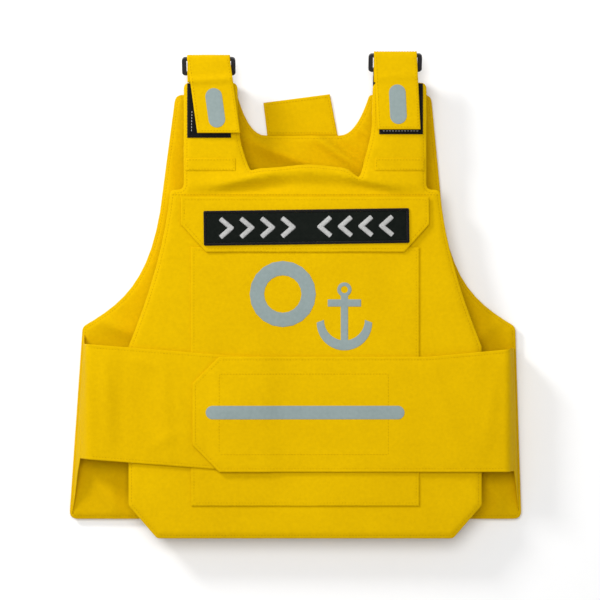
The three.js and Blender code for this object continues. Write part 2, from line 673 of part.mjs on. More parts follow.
function addInflationGear() {
  const bottom = frontFillBottom;
  const bodyX0 = FRONT_SHIFT - BAY_HALF + INFLATOR_INSET;
  const bodyX1 = bodyX0 + INFLATOR_LENGTH;
  const middleX = (bodyX0 + bodyX1) / 2;
  const middleY = flapRootY - BAY_MARGIN - 3 - INFLATOR_WIDTH / 2;
  const gasZ = bottom + CYLINDER_RADIUS;
  const gasY = flapRootY - BAY_MARGIN - 3 - CYLINDER_RADIUS;
  const bodyTop = bottom + inflatorHeight;

  const body = roundedRectangle(
    middleX, middleY, INFLATOR_LENGTH, INFLATOR_WIDTH, INFLATOR_CORNER,
  );
  const neckX = bodyX1 + GAP - CYLINDER_NECK_LENGTH;
  const socket = rod(CYLINDER_NECK_RADIUS + GAP, neckX - GAP, bodyX1 + 1, gasY, gasZ);
  addPiece("inflator_body", cut(plate(body, bottom, inflatorHeight), socket), "gear");

  const shoulderX = neckX + CYLINDER_NECK_LENGTH;
  const endX = neckX + CYLINDER_LENGTH;
  const bottle = [[0, neckX], [CYLINDER_NECK_RADIUS, neckX], [CYLINDER_NECK_RADIUS, shoulderX]];
  for (let i = 1; i <= ARC_STEPS; i += 1) {
    const turn = (i / ARC_STEPS) * (Math.PI / 2);
    const rise = (CYLINDER_RADIUS - CYLINDER_NECK_RADIUS) * Math.sin(turn);
    bottle.push([
      CYLINDER_NECK_RADIUS + rise,
      shoulderX + CYLINDER_SHOULDER * (1 - Math.cos(turn)),
    ]);
  }
  for (let i = 0; i <= ARC_STEPS; i += 1) {
    const turn = (i / ARC_STEPS) * (Math.PI / 2);
    bottle.push([
      CYLINDER_RADIUS * Math.cos(turn),
      endX - CYLINDER_RADIUS * (1 - Math.sin(turn)),
    ]);
  }
  bottle.at(-1)[0] = 0;
  addPiece("gas_cylinder", turnedX(bottle, gasY, gasZ), "steel");

  const nut = new THREE.CylinderGeometry(NUT_RADIUS, NUT_RADIUS, NUT_LENGTH, 6);
  nut.rotateZ(Math.PI / 2);
  nut.translate(bodyX0 - GAP - NUT_LENGTH / 2, middleY, bottom + inflatorHeight / 2);
  addPiece("inflator_nut", nut, "gear");

  const pivotY = middleY + INFLATOR_WIDTH / 2 - INFLATOR_CORNER - LEVER_WIDTH / 2;
  const leverBottom = bodyTop + GAP;
  const lever = roundedRectangle(
    middleX + LEVER_LENGTH / 2 - LEVER_WIDTH / 2,
    pivotY, LEVER_LENGTH, LEVER_WIDTH, LEVER_WIDTH / 2 - 0.01,
  );
  addPiece("firing_lever", plate(lever, leverBottom, LEVER_THICK), "toggle");
  const cordZ = leverBottom + LEVER_THICK / 2;
  const cordX = middleX + LEVER_LENGTH - LEVER_WIDTH / 2 + GAP;
  const cord = rod(CORD_RADIUS, cordX, cordX + CORD_LENGTH, pivotY, cordZ);
  addPiece("pull_cord", cord, "webbing");
  const toggleX = cordX + CORD_LENGTH + GAP;
  const toggle = rod(TOGGLE_RADIUS, toggleX, toggleX + TOGGLE_LENGTH, pivotY, cordZ);
  addPiece("pull_toggle", toggle, "toggle");

  const indicator = new THREE.CylinderGeometry(
    INDICATOR_RADIUS, INDICATOR_RADIUS, INDICATOR_HEIGHT, ROUND_STEPS,
  );
  indicator.rotateX(Math.PI / 2);
  indicator.translate(
    bodyX0 + INFLATOR_CORNER + 1,
    middleY - INFLATOR_WIDTH / 4,
    leverBottom + INDICATOR_HEIGHT / 2,
  );
  addPiece("ready_indicator", indicator, "indicator");

  const tubeY = gasY - TUBE_SPACING;
  const tubeZ = bottom + CAP_RADIUS + 1;
  const tubeEnd = FRONT_SHIFT + BAY_HALF;
  const tubeStart = tubeEnd - TUBE_LENGTH;
  addPiece("oral_tube", rod(TUBE_RADIUS, tubeStart, tubeEnd, tubeY, tubeZ), "gear");
  const valveEnd = tubeStart - GAP;
  const valveStart = valveEnd - VALVE_LENGTH;
  addPiece("oral_valve", rod(VALVE_RADIUS, valveStart, valveEnd, tubeY, tubeZ), "toggle");
  const capEnd = valveStart - GAP;
  addPiece("oral_cap", rod(CAP_RADIUS, capEnd - CAP_LENGTH, capEnd, tubeY, tubeZ), "gear");
}

// ---------------------------------------------------------------- assembly

addBackPanel();
addNeckTab();
addFrontPanel();
addPocketPanel();
addChestFlap();
addEmblem();
SHOULDERS.forEach(addShoulder);
addUnderBand();
addOuterBand();
addInflationGear();

export default jacket;
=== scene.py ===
# %% [markdown]
# # An inflatable life jacket of the vest type
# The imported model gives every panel, strap and ring its size and place. This lesson dresses it:
# coated cloth that ripples, seams with real stitches, webbing, tape, a sewn patch and bonded film.
# A flat pattern is drawn first, as a sailmaker does, and is then laid over what lies beneath it.

# %% Load the fixed frame
import math

import bpy
import numpy as np
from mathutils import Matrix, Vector, noise
from mathutils.geometry import delaunay_2d_cdt


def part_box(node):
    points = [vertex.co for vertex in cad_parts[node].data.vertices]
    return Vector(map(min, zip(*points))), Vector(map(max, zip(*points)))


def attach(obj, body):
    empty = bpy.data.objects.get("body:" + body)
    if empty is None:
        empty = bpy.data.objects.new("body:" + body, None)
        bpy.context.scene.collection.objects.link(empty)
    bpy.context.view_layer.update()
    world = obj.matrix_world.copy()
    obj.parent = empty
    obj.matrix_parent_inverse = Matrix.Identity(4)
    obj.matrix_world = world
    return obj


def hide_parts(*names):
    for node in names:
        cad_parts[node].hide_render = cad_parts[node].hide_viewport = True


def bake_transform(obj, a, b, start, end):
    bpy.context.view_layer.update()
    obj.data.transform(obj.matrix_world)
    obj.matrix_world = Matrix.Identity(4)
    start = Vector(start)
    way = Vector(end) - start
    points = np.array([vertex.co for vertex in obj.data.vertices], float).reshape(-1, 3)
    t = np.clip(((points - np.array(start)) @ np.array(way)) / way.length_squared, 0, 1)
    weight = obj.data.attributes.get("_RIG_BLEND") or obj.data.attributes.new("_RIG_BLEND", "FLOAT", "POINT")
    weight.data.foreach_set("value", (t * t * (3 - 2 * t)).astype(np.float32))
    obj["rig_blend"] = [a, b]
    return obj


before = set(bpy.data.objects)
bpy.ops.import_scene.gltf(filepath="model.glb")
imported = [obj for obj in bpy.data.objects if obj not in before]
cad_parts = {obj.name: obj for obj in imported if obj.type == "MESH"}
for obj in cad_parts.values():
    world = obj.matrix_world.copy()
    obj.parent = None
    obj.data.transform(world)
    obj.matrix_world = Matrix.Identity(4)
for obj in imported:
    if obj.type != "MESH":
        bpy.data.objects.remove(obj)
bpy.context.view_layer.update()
bpy.ops.object.select_all(action="DESELECT")
print("frame:", len(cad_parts), "nodes")

# %% [markdown]
# ## Camera, floor and light
# The jacket lies flat and is looked at from straight above. A long lens far away keeps its sides
# hidden, which a short lens would show. One wide lamp overhead and a smaller, lower one from the
# upper left give soft shade, so the folds read without hard shadows.

# %% Camera
MM = 0.001
FRAME_WIDTH = 672 * MM
CAMERA_HEIGHT = 2.6
SENSOR = 36
camera_data = bpy.data.cameras.new("camera")
camera_data.sensor_width = SENSOR
camera_data.lens = SENSOR * CAMERA_HEIGHT / FRAME_WIDTH
camera = bpy.data.objects.new("camera", camera_data)
camera.location = (5.3 * MM, -5.7 * MM, CAMERA_HEIGHT + 40 * MM)
bpy.context.scene.collection.objects.link(camera)
bpy.context.scene.camera = camera
print("lens:", round(camera_data.lens), "mm")


# %% Lights and floor
def add_lamp(name, place, size, watts):
    bpy.ops.object.light_add(type="AREA", location=place)
    lamp = bpy.context.object
    lamp.name = name
    lamp.data.shape = "DISK"
    lamp.data.size = size
    lamp.data.energy = watts
    lamp.rotation_euler = Vector(place).to_track_quat("Z", "Y").to_euler()
    return lamp


add_lamp("overhead_lamp", (-0.2, 0.4, 2.2), 1.4, 29)
add_lamp("upper_left_lamp", (-1.5, 1.4, 1.1), 0.6, 32)
world = bpy.data.worlds.new("studio")
world.use_nodes = True
world.node_tree.nodes["Background"].inputs["Color"].default_value = (1, 1, 1, 1)
world.node_tree.nodes["Background"].inputs["Strength"].default_value = 0.46
bpy.context.scene.world = world
bpy.context.scene.view_settings.view_transform = "Standard"

bpy.ops.mesh.primitive_plane_add(size=12, location=(0, 0, -0.0006))
floor = bpy.context.object
floor.name = "floor"
bpy.ops.object.transform_apply(location=True)

# %% [markdown]
# ## Materials
# Every cloth here is woven, so one node group draws a weave and the others use it at their own
# scale. It gives two values that change over the surface: a height for the bump, and a fine
# variation for the colour. The colours and the shaders stay in each material.


# %% Node helpers
def add_node(tree, kind, values=(), **settings):
    node = tree.nodes.new(kind)
    for key, value in settings.items():
        setattr(node, key, value)
    for key, value in dict(values).items():
        node.inputs[key].default_value = value
    return node


def new_group(name, inputs, outputs):
    tree = bpy.data.node_groups.new(name, "ShaderNodeTree")
    for label, value in inputs:
        socket = tree.interface.new_socket(label, in_out="INPUT", socket_type="NodeSocketFloat")
        socket.default_value = value
    for label in outputs:
        tree.interface.new_socket(label, in_out="OUTPUT", socket_type="NodeSocketFloat")
    return tree, tree.nodes.new("NodeGroupInput"), tree.nodes.new("NodeGroupOutput")


def math_node(tree, operation, first, second):
    node = tree.nodes.new("ShaderNodeMath")
    node.operation = operation
    for socket, value in zip(node.inputs, (first, second)):
        if isinstance(value, (int, float)):
            socket.default_value = value
        else:
            tree.links.new(value, socket)
    return node.outputs[0]


# %% Weave group
def build_weave():
    tree, given, result = new_group("weave", [("Threads", 1600.0), ("Slub", 0.5)], ["Height", "Tone"])
    place = add_node(tree, "ShaderNodeTexCoord")
    scaled = add_node(tree, "ShaderNodeVectorMath", operation="SCALE")
    tree.links.new(place.outputs["Object"], scaled.inputs[0])
    tree.links.new(given.outputs["Threads"], scaled.inputs["Scale"])
    bands = []
    for direction in ("X", "Y"):
        wave = add_node(
            tree, "ShaderNodeTexWave", {"Scale": 1.0, "Distortion": 0.6, "Detail": 1.0},
            wave_type="BANDS", bands_direction=direction,
        )
        tree.links.new(scaled.outputs[0], wave.inputs["Vector"])
        bands.append(wave.outputs["Fac"])
    woven = math_node(tree, "MULTIPLY", *bands)
    slub = add_node(tree, "ShaderNodeTexNoise", {"Scale": 260.0, "Detail": 2.0})
    tree.links.new(place.outputs["Object"], slub.inputs["Vector"])
    thick = math_node(tree, "MULTIPLY", slub.outputs["Fac"], given.outputs["Slub"])
    tree.links.new(math_node(tree, "ADD", woven, thick), result.inputs["Height"])
    cloud = add_node(tree, "ShaderNodeTexNoise", {"Scale": 14.0, "Detail": 4.0, "Roughness": 0.55})
    tree.links.new(place.outputs["Object"], cloud.inputs["Vector"])
    grain = math_node(tree, "MULTIPLY", slub.outputs["Fac"], 0.45)
    clouded = math_node(tree, "MULTIPLY", cloud.outputs["Fac"], 0.55)
    tree.links.new(math_node(tree, "ADD", grain, clouded), result.inputs["Tone"])
    return tree


WEAVE = build_weave()


def cloth_material(name, dark, light, threads, slub, bump, roughness, sheen):
    """Woven cloth: two close colours mixed by the weave's tone, and its bump."""
    material = bpy.data.materials.new(name)
    material.use_nodes = True
    tree = material.node_tree
    shader = tree.nodes["Principled BSDF"]
    shader.inputs["Roughness"].default_value = roughness
    shader.inputs["Sheen Weight"].default_value = sheen
    shader.inputs["Sheen Roughness"].default_value = 0.45
    shader.inputs["Specular IOR Level"].default_value = 0.12
    glow = [min(1, 1.2 * c / max(light)) for c in light]
    shader.inputs["Specular Tint"].default_value = (*glow, 1)
    shader.inputs["Sheen Tint"].default_value = (*glow, 1)
    weave = add_node(tree, "ShaderNodeGroup", node_tree=WEAVE)
    weave.inputs["Threads"].default_value = threads
    weave.inputs["Slub"].default_value = slub
    ramp = add_node(tree, "ShaderNodeValToRGB")
    ramp.color_ramp.elements[0].position = 0.33
    ramp.color_ramp.elements[0].color = (*dark, 1)
    ramp.color_ramp.elements[1].position = 0.67
    ramp.color_ramp.elements[1].color = (*light, 1)
    tree.links.new(weave.outputs["Tone"], ramp.inputs["Fac"])
    tree.links.new(ramp.outputs["Color"], shader.inputs["Base Color"])
    relief = add_node(tree, "ShaderNodeBump", {"Strength": bump, "Distance": 0.0002})
    tree.links.new(weave.outputs["Height"], relief.inputs["Height"])
    tree.links.new(relief.outputs["Normal"], shader.inputs["Normal"])
    return material


def moulded_material(name, colour, roughness, metallic=0.0, scale=900.0, bump=0.15, spread=0.12):
    """Moulded or drawn pieces: one colour with a fine grain in its gloss and its bump."""
    material = bpy.data.materials.new(name)
    material.use_nodes = True
    tree = material.node_tree
    shader = tree.nodes["Principled BSDF"]
    shader.inputs["Metallic"].default_value = metallic
    place = add_node(tree, "ShaderNodeTexCoord")
    grain = add_node(tree, "ShaderNodeTexNoise", {"Scale": scale, "Detail": 3.0})
    tree.links.new(place.outputs["Object"], grain.inputs["Vector"])
    gloss = add_node(tree, "ShaderNodeMapRange")
    gloss.inputs["To Min"].default_value = roughness - 0.08
    gloss.inputs["To Max"].default_value = roughness + 0.08
    tree.links.new(grain.outputs["Fac"], gloss.inputs["Value"])
    tree.links.new(gloss.outputs["Result"], shader.inputs["Roughness"])
    tint = add_node(tree, "ShaderNodeValToRGB")
    tint.color_ramp.elements[0].color = (*[c * (1 - spread) for c in colour], 1)
    tint.color_ramp.elements[1].color = (*[min(1, c * (1 + spread)) for c in colour], 1)
    tree.links.new(grain.outputs["Fac"], tint.inputs["Fac"])
    tree.links.new(tint.outputs["Color"], shader.inputs["Base Color"])
    relief = add_node(tree, "ShaderNodeBump", {"Strength": bump, "Distance": 0.0002})
    tree.links.new(grain.outputs["Fac"], relief.inputs["Height"])
    tree.links.new(relief.outputs["Normal"], shader.inputs["Normal"])
    return material


# %% The finishes
# name: darker colour, lighter colour, threads, slub, bump, roughness, sheen
CLOTHS = {
    "shell_cloth": ((0.62, 0.375, 0.001), (0.70, 0.435, 0.001), 1500, 0.6, 0.35, 0.85, 0.02),
    "lining_cloth": ((0.60, 0.355, 0.001), (0.68, 0.415, 0.001), 1300, 0.7, 0.35, 0.85, 0.02),
    "sewing_thread": ((0.44, 0.25, 0.001), (0.56, 0.33, 0.001), 4200, 0.3, 0.3, 0.6, 0.1),
    "bladder_cloth": ((0.62, 0.30, 0.008), (0.70, 0.36, 0.012), 2200, 0.2, 0.15, 0.4, 0.0),
    "black_webbing": ((0.004, 0.004, 0.005), (0.010, 0.010, 0.011), 800, 0.8, 0.8, 0.8, 0.04),
    "hook_loop_tape": ((0.003, 0.003, 0.003), (0.009, 0.008, 0.009), 2600, 2.2, 1.0, 0.95, 0.04),
    "patch_twill": ((0.002, 0.004, 0.003), (0.007, 0.009, 0.007), 1700, 0.5, 0.8, 0.85, 0.02),
    "patch_border_thread": ((0.003, 0.002, 0.003), (0.009, 0.008, 0.009), 3000, 0.6, 0.8, 0.7, 0.06),
    "white_thread": ((0.42, 0.42, 0.41), (0.55, 0.55, 0.54), 2600, 0.8, 0.7, 0.6, 0.3),
    "reflective_film": ((0.215, 0.27, 0.265), (0.255, 0.315, 0.31), 3400, 0.25, 0.2, 0.5, 0.0),
}
(
    SHELL, LINING, THREAD, BLADDER, WEBBING,
    TAPE, TWILL, BORDER, WHITE_THREAD, FILM,
) = (cloth_material(name, *values) for name, values in CLOTHS.items())
RING = moulded_material("ring_acetal", (0.012, 0.011, 0.015), 0.38)
GEAR = moulded_material("gear_plastic", (0.02, 0.022, 0.025), 0.45)
STEEL = moulded_material("plated_steel", (0.48, 0.5, 0.52), 0.3, metallic=1.0)
RED = moulded_material("red_plastic", (0.55, 0.02, 0.012), 0.35)
GREEN = moulded_material("green_plastic", (0.03, 0.32, 0.07), 0.3)
FLOOR = moulded_material("pale_floor", (0.93, 0.93, 0.93), 0.85, scale=40.0, bump=0.02, spread=0.01)
floor.data.materials.append(FLOOR)
print("materials:", len(bpy.data.materials))

# %% [markdown]
# ## Flat patterns
# Cloth goods start as flat cut pieces. Here the pattern of each piece is read from the packed
# model's own flat face, so nothing is measured twice. All drawing is done in millimetres, and
# only the finished mesh is turned into metres.


# %% Reading outlines from the frame
def mm_box(node):
    low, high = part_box(node)
    return low / MM, high / MM


def signed_area(loop):
    ahead = np.roll(loop, -1, axis=0)
    return 0.5 * float(np.sum(loop[:, 0] * ahead[:, 1] - ahead[:, 0] * loop[:, 1]))


def loops_of(node):
    """The edges of a flat node's upper face: its outline first, then any holes."""
    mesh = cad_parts[node].data
    mesh.calc_loop_triangles()
    spots = np.round(np.array([v.co for v in mesh.vertices]) / MM, 2)
    level = spots[:, 2].max() - 0.05
    open_edges = set()
    for triangle in mesh.loop_triangles:
        corners = [tuple(spots[i]) for i in triangle.vertices]
        if min(corner[2] for corner in corners) < level:
            continue
        for a, b in zip(corners, corners[1:] + corners[:1]):
            if (b[:2], a[:2]) in open_edges:
                open_edges.remove((b[:2], a[:2]))
            else:
                open_edges.add((a[:2], b[:2]))
    follows = dict(sorted(open_edges))
    loops = []
    while follows:
        start = min(follows)
        loop, here = [start], follows.pop(start)
        while here != start:
            loop.append(here)
            here = follows.pop(here)
        loops.append(np.array(loop))
    return sorted(loops, key=lambda loop: -abs(signed_area(loop)))


def box_loop(low, high):
    return np.array([(low[0], low[1]), (high[0], low[1]), (high[0], high[1]), (low[0], high[1])], float)


# %% Working with outlines
def spaced(loop, step, closed=True):
    """The same line with no gap between points longer than step."""
    ends = np.roll(loop, -1, axis=0) if closed else loop[1:]
    made = []
    for a, b in zip(loop, ends):
        count = max(1, math.ceil(float(np.linalg.norm(b - a)) / step))
        made.extend(a + (b - a) * i / count for i in range(count))
    if not closed:
        made.append(loop[-1])
    return np.array(made)


def moved_in(loop, distance):
    """The outline moved to its inner side; a hole, which runs the other way, grows."""
    def unit_normals(vectors):
        turned = np.stack([-vectors[:, 1], vectors[:, 0]], axis=1)
        return turned / np.linalg.norm(turned, axis=1, keepdims=True)
    before = unit_normals(loop - np.roll(loop, 1, axis=0))
    after = unit_normals(np.roll(loop, -1, axis=0) - loop)
    reach = distance / (1 + np.sum(before * after, axis=1, keepdims=True))
    return loop + (before + after) * reach


def rounded(loop, radius, sharp=25):
    """The outline with each corner that turns by more than sharp degrees cut to a round."""
    made = []
    for before, here, after in zip(np.roll(loop, 1, axis=0), loop, np.roll(loop, -1, axis=0)):
        back, ahead = before - here, after - here
        room = min(np.linalg.norm(back), np.linalg.norm(ahead)) * 0.45
        back, ahead = back / np.linalg.norm(back), ahead / np.linalg.norm(ahead)
        turn = math.pi - math.acos(float(np.clip(back @ ahead, -1, 1)))
        if math.degrees(turn) < sharp:
            made.append(here)
            continue
        reach = min(radius * math.tan(turn / 2), room)
        for t in np.linspace(0, 1, 6):
            made.append(here + back * reach * (1 - t) ** 2 + ahead * reach * t**2)
    return np.array(made)


def distance_to(loop, points):
    nearest = np.full(len(points), 1e9)
    for a, b in zip(loop, np.roll(loop, -1, axis=0)):
        edge = b - a
        t = np.clip((points - a) @ edge / (edge @ edge), 0, 1)
        gap = np.linalg.norm(points - a - t[:, None] * edge, axis=1)
        nearest = np.minimum(nearest, gap)
    return nearest


def edge_distance(loop, holes, points):
    """How far each point is from the outline or from the nearest hole."""
    return np.min([distance_to(edge, points) for edge in (loop, *holes)], axis=0)


def inside(loop, points):
    x, y = points.T
    odd = np.zeros(len(points), bool)
    for (ax, ay), (bx, by) in zip(loop, np.roll(loop, -1, axis=0)):
        if ay == by:
            continue
        crosses = (ay > y) != (by > y)
        odd ^= crosses & (x < ax + (y - ay) * (bx - ax) / (by - ay))
    return odd


def fill(loop, step, rings, holes=()):
    """Even triangles over a pattern, with rows of points that follow its edges."""
    rims = [spaced(edge, min(step, 4)) for edge in (loop, *holes)]
    rows = [spaced(moved_in(edge, ring), min(step, 4)) for edge in (loop, *holes) for ring in rings]
    low, high = loop.min(0), loop.max(0)
    grid = []
    for row, y in enumerate(np.arange(low[1], high[1], step * 0.87)):
        shift = step / 2 if row % 2 else 0
        grid.extend((x, y) for x in np.arange(low[0] + shift, high[0], step))
    grid = np.array(grid)
    clear = (max(rings) if rings else 0) + step * 0.55
    keep = inside(loop, grid) & (distance_to(loop, grid) > clear)
    for hole in holes:
        keep &= ~inside(hole, grid) & (distance_to(hole, grid) > clear)
    points = np.concatenate([*rims, *rows, grid[keep]])
    edges, first = [], 0
    for rim in rims:
        count = len(rim)
        edges.extend((first + i, first + (i + 1) % count) for i in range(count))
        first += count
    made = delaunay_2d_cdt([Vector(p) for p in points], edges, [], 1, 1e-4)
    flat = np.array([tuple(v) for v in made[0]])
    faces = np.array(made[2])
    for hole in holes:
        faces = faces[~inside(hole, flat[faces].mean(axis=1))]
    a, b, c = flat[faces[:, 0]], flat[faces[:, 1]], flat[faces[:, 2]]
    turn = (b[:, 0] - a[:, 0]) * (c[:, 1] - a[:, 1]) - (b[:, 1] - a[:, 1]) * (c[:, 0] - a[:, 0])
    faces[turn < 0] = faces[turn < 0][:, ::-1]
    return flat, faces


# %% From a pattern to a closed piece of cloth
def smooth(t):
    t = np.clip(t, 0, 1)
    return t * t * (3 - 2 * t)


def ripple(points, size, seed):
    return np.array([noise.noise(Vector((x / size, y / size, seed))) for x, y in points])


def make_mesh(name, places, faces, material):
    """A new mesh piece from millimetre places, smooth, at the origin."""
    mesh = bpy.data.meshes.new(name)
    mesh.from_pydata((np.asarray(places) * MM).tolist(), [], [tuple(f) for f in faces])
    mesh.polygons.foreach_set("use_smooth", [True] * len(mesh.polygons))
    mesh.materials.append(material)
    mesh.update()
    piece = bpy.data.objects.new(name, mesh)
    bpy.context.scene.collection.objects.link(piece)
    return piece


def close_up(flat, faces, top, bottom):
    """The two sides of a sheet and the rim between them, as places and faces."""
    directed = {(a, b) for face in faces.tolist() for a, b in zip(face, face[1:] + face[:1])}
    rim = [(a, b) for a, b in directed if (b, a) not in directed]
    count = len(flat)
    sides = [(a, a + count, b + count, b) for a, b in sorted(rim)]
    under = [tuple(i + count for i in face[::-1]) for face in faces.tolist()]
    return np.concatenate([top, bottom]), [*map(tuple, faces.tolist()), *under, *sides]


EDGE_RINGS = (0.35, 1.0, 2.4, 3.6, 4.9, 7.5)  # rows of points that follow the edge
SEAM_INSET = 3.6
SEAM_WIDTH = 1.3
EDGE_ROLL = 1.2


def cloth(name, loop, place, thickness, material, step=5, rings=EDGE_RINGS, holes=(), seam=0.3):
    """Cuts a pattern, rounds its turned edge, sinks its stitch line and lays it in place.

    place(points, offset) gives where pattern points go, offset millimetres above the cloth.
    """
    flat, faces = fill(loop, step, rings, holes)
    edge = edge_distance(loop, holes, flat)
    rolled = np.sqrt(1 - (1 - np.clip(edge / EDGE_ROLL, 0.04, 1)) ** 2)
    half = thickness / 2 * rolled
    pucker = 0.6 + 0.4 * ripple(flat, 5.5, 7.7)
    sunk = seam * pucker * np.exp(-(((edge - SEAM_INSET) / SEAM_WIDTH) ** 2))
    places, all_faces = close_up(flat, faces, place(flat, half - sunk), place(flat, -half))
    return make_mesh(name, places, all_faces, material)


def lay(height):
    """A place function for cloth that lies on a height field."""
    def place(points, offset):
        return np.column_stack([points, height(points) + offset])
    return place


# %% [markdown]
# ## Stitches and cords
# A seam shows its thread. Each stitch is one small spindle, a few dozen faces at most, because
# there are thousands of them. They are set along the pattern's own lines, so they follow the
# cloth wherever it is laid.

# %% Stitch sizes and the cord maker
STITCH_PITCH = 3.4
STITCH_LENGTH = 2.6


def closed_line(loop):
    return np.concatenate([loop, loop[:1]])


def tube(name, line, radius, material, sides, swell):
    """A round cord that closes on itself, along millimetre places, with a swelling radius."""
    count = len(line)
    ahead = np.roll(line, -1, axis=0) - np.roll(line, 1, axis=0)
    ahead /= np.linalg.norm(ahead, axis=1, keepdims=True)
    side = np.cross(ahead, (0, 0, 1.0))
    side /= np.linalg.norm(side, axis=1, keepdims=True)
    up = np.cross(side, ahead)
    angles = np.linspace(0, 2 * math.pi, sides, endpoint=False)
    reach = (radius * swell)[:, None]
    rings = [line + reach * (math.cos(a) * side + math.sin(a) * up) for a in angles]
    places = np.stack(rings, axis=1).reshape(-1, 3)
    faces = []
    for i in range(count):
        j = (i + 1) % count
        for k in range(sides):
            m = (k + 1) % sides
            faces.append((i * sides + k, i * sides + m, j * sides + m, j * sides + k))
    return make_mesh(name, places, faces, material)


# %% [markdown]
# ## Folds and ripples
# Cloth with something soft inside never lies quite flat. Two slow ripples move the whole front
# together, pocket, flap and bands included, because each layer telegraphs what is beneath it.
# Named folds are added where the cloth is pushed: below the neckline, in the neck and at the sides.

# %% Fold helpers
def fold(points, start, end, height, width):
    """A soft ridge, or a valley when height is negative, that fades towards both ends."""
    start, end = np.array(start, float), np.array(end, float)
    run = end - start
    length = np.linalg.norm(run)
    along = (points - start) @ run / length**2
    across = ((points - start) @ np.array([-run[1], run[0]])) / length
    fade = np.sin(math.pi * np.clip(along, 0, 1)) ** 0.8
    return height * fade * np.exp(-((across / width) ** 2))


def folds(points, *rows):
    return sum(fold(points, *row) for row in rows)


FRONT_EDGE, BAY = loops_of("front_cover")[:2]
BACK_EDGE = rounded(loops_of("back_lining")[0], 9)
FRONT_LOW, FRONT_HIGH = mm_box("front_cover")
FLAP_HIGH = mm_box("chest_flap")[1]
MIDDLE = (FRONT_LOW.x + FRONT_HIGH.x) / 2
NECK_Y = FRONT_EDGE[(np.abs(FRONT_EDGE[:, 0] - MIDDLE) < 64) & (FRONT_EDGE[:, 1] > 0)][:, 1].min()


def eased_neckline(loop):
    """The slack neckline bows up in its middle and tucks down at its right end."""
    loop = spaced(rounded(loop, 7), 5)
    x, y = loop.T
    near = smooth((NECK_Y + 24 - y) / 22) * (np.abs(x - MIDDLE) < 80) * (y > NECK_Y - 6)
    bow = 4.2 * np.exp(-(((x - MIDDLE - 4) / 30) ** 2)) - 10 * np.exp(-(((x - MIDDLE - 60) / 9) ** 2))
    tuck = -2.5 * np.exp(-(((x - MIDDLE + 62) / 8) ** 2))
    return np.column_stack([x, y + near * (bow + tuck)])


FRONT_EDGE = eased_neckline(FRONT_EDGE)
CLOTH = 1.2
print("front neckline at", round(float(NECK_Y)), "mm")


def front_ripple(points):
    return 0.75 * ripple(points, 80, 1.3) + 0.3 * ripple(points, 27, 4.2)


def neck_folds(points):
    """The roll of cloth that the neckline pushes down onto the chest, and its two side pleats."""
    x, y = points.T
    along = (x - MIDDLE) / 135
    crest = NECK_Y - 3 - (NECK_Y - FLAP_HIGH.y - 12) * np.abs(along) ** 1.7
    across = y - crest
    roll = 4.6 * np.exp(-((across / 9) ** 2)) - 2.2 * np.exp(-(((across + 17) / 9) ** 2))
    fade = smooth((y - FLAP_HIGH.y - 1) / 12) * smooth((1.1 - np.abs(along)) / 0.5)
    pleats = folds(
        points, ((-108, 116), (-18, 138), 3.6, 4.5), ((-96, 108), (0, 124), -2.6, 6),
        ((44, 136), (142, 112), 3.6, 4.5), ((64, 120), (146, 104), -2.4, 5),
    )
    return (roll + pleats) * fade * smooth((NECK_Y + 18 - y) / 16)


def front_top(points):
    """The middle of the front's top cloth, which rolls over at its edge."""
    edge = distance_to(FRONT_EDGE, points)
    roll = 2.2 * (1 - smooth((edge + 1.5) / 9))
    return FRONT_HIGH.z - CLOTH / 2 + front_ripple(points) + neck_folds(points) - roll


def front_floor(points):
    """The front's inner side, which rises towards the shoulders where the fill thins out."""
    y = points[:, 1]
    lift = 14 * smooth((y - NECK_Y - 8) / (FRONT_HIGH.y - NECK_Y - 20))
    return mm_box("front_lining")[0].z + CLOTH / 2 + 0.1 + lift + 0.4 * ripple(points, 60, 9.1)


# %% [markdown]
# ## Padded front and back
# A padded cover is two cloth panels with a wall strip, a gusset, sewn between them. Each panel is
# cut to its own pattern, so its edges keep a crisp turned seam, which an inflated block would lose.
# The folded bladder between them is a slack pad that shows only through the bay.


# %% Gusset and pad makers
def gusset(name, loop, low, high, thickness, bulge, material, step=4, rows=7):
    """A wall strip that follows an outline between two height functions and swells outwards."""
    line = spaced(loop, step)
    shares = np.linspace(0, 1, rows)
    wrinkle = ripple(line, 11, 3.3)
    skins = []
    for inset in (thickness, 0):
        skin = []
        for share in shares:
            swell = bulge * math.sin(math.pi * share) * (1 + 0.5 * wrinkle)
            moved = moved_in(line, 1) - line
            spot = line + moved * (1.4 + inset - swell)[:, None]
            height = low(line) + (high(line) - low(line)) * share
            skin.append(np.column_stack([spot, height]))
        skins.append(skin if inset else skin[::-1])
    rings = skins[0] + skins[1]
    count, around = len(line), len(rings)
    places = np.concatenate(rings)
    faces = []
    for r in range(around):
        s = (r + 1) % around
        for i in range(count):
            j = (i + 1) % count
            faces.append((r * count + i, s * count + i, s * count + j, r * count + j))
    if signed_area(loop) < 0:
        faces = [face[::-1] for face in faces]
    return make_mesh(name, places, faces, material)


def pad(name, loop, low, high, edge_round, material, step=6, holes=()):
    """A slack stuffed pad: full in the middle, rounded to a seam at half height all round."""
    flat, faces = fill(loop, step, (0.8, 2.2, 4.5), holes)
    edge = edge_distance(loop, holes, flat)
    full = np.sqrt(1 - (1 - np.clip(edge / edge_round, 0.03, 1)) ** 2)
    middle = (low(flat) + high(flat)) / 2
    half = (high(flat) - low(flat)) / 2 * full
    places, all_faces = close_up(
        flat, faces,
        np.column_stack([flat, middle + half]), np.column_stack([flat, middle - half]),
    )
    return make_mesh(name, places, all_faces, material)


def dress(piece, body, slot_name, *nodes):
    """Hides the model nodes a finished piece stands for, and hangs it on its CAD body unless it blends
    between two bodies.
    """
    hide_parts(*nodes)
    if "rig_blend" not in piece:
        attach(piece, body)
    return piece


def lay_sheet(piece, loop, holes=()):
    area = abs(signed_area(loop)) - sum(abs(signed_area(hole)) for hole in holes)
    return piece


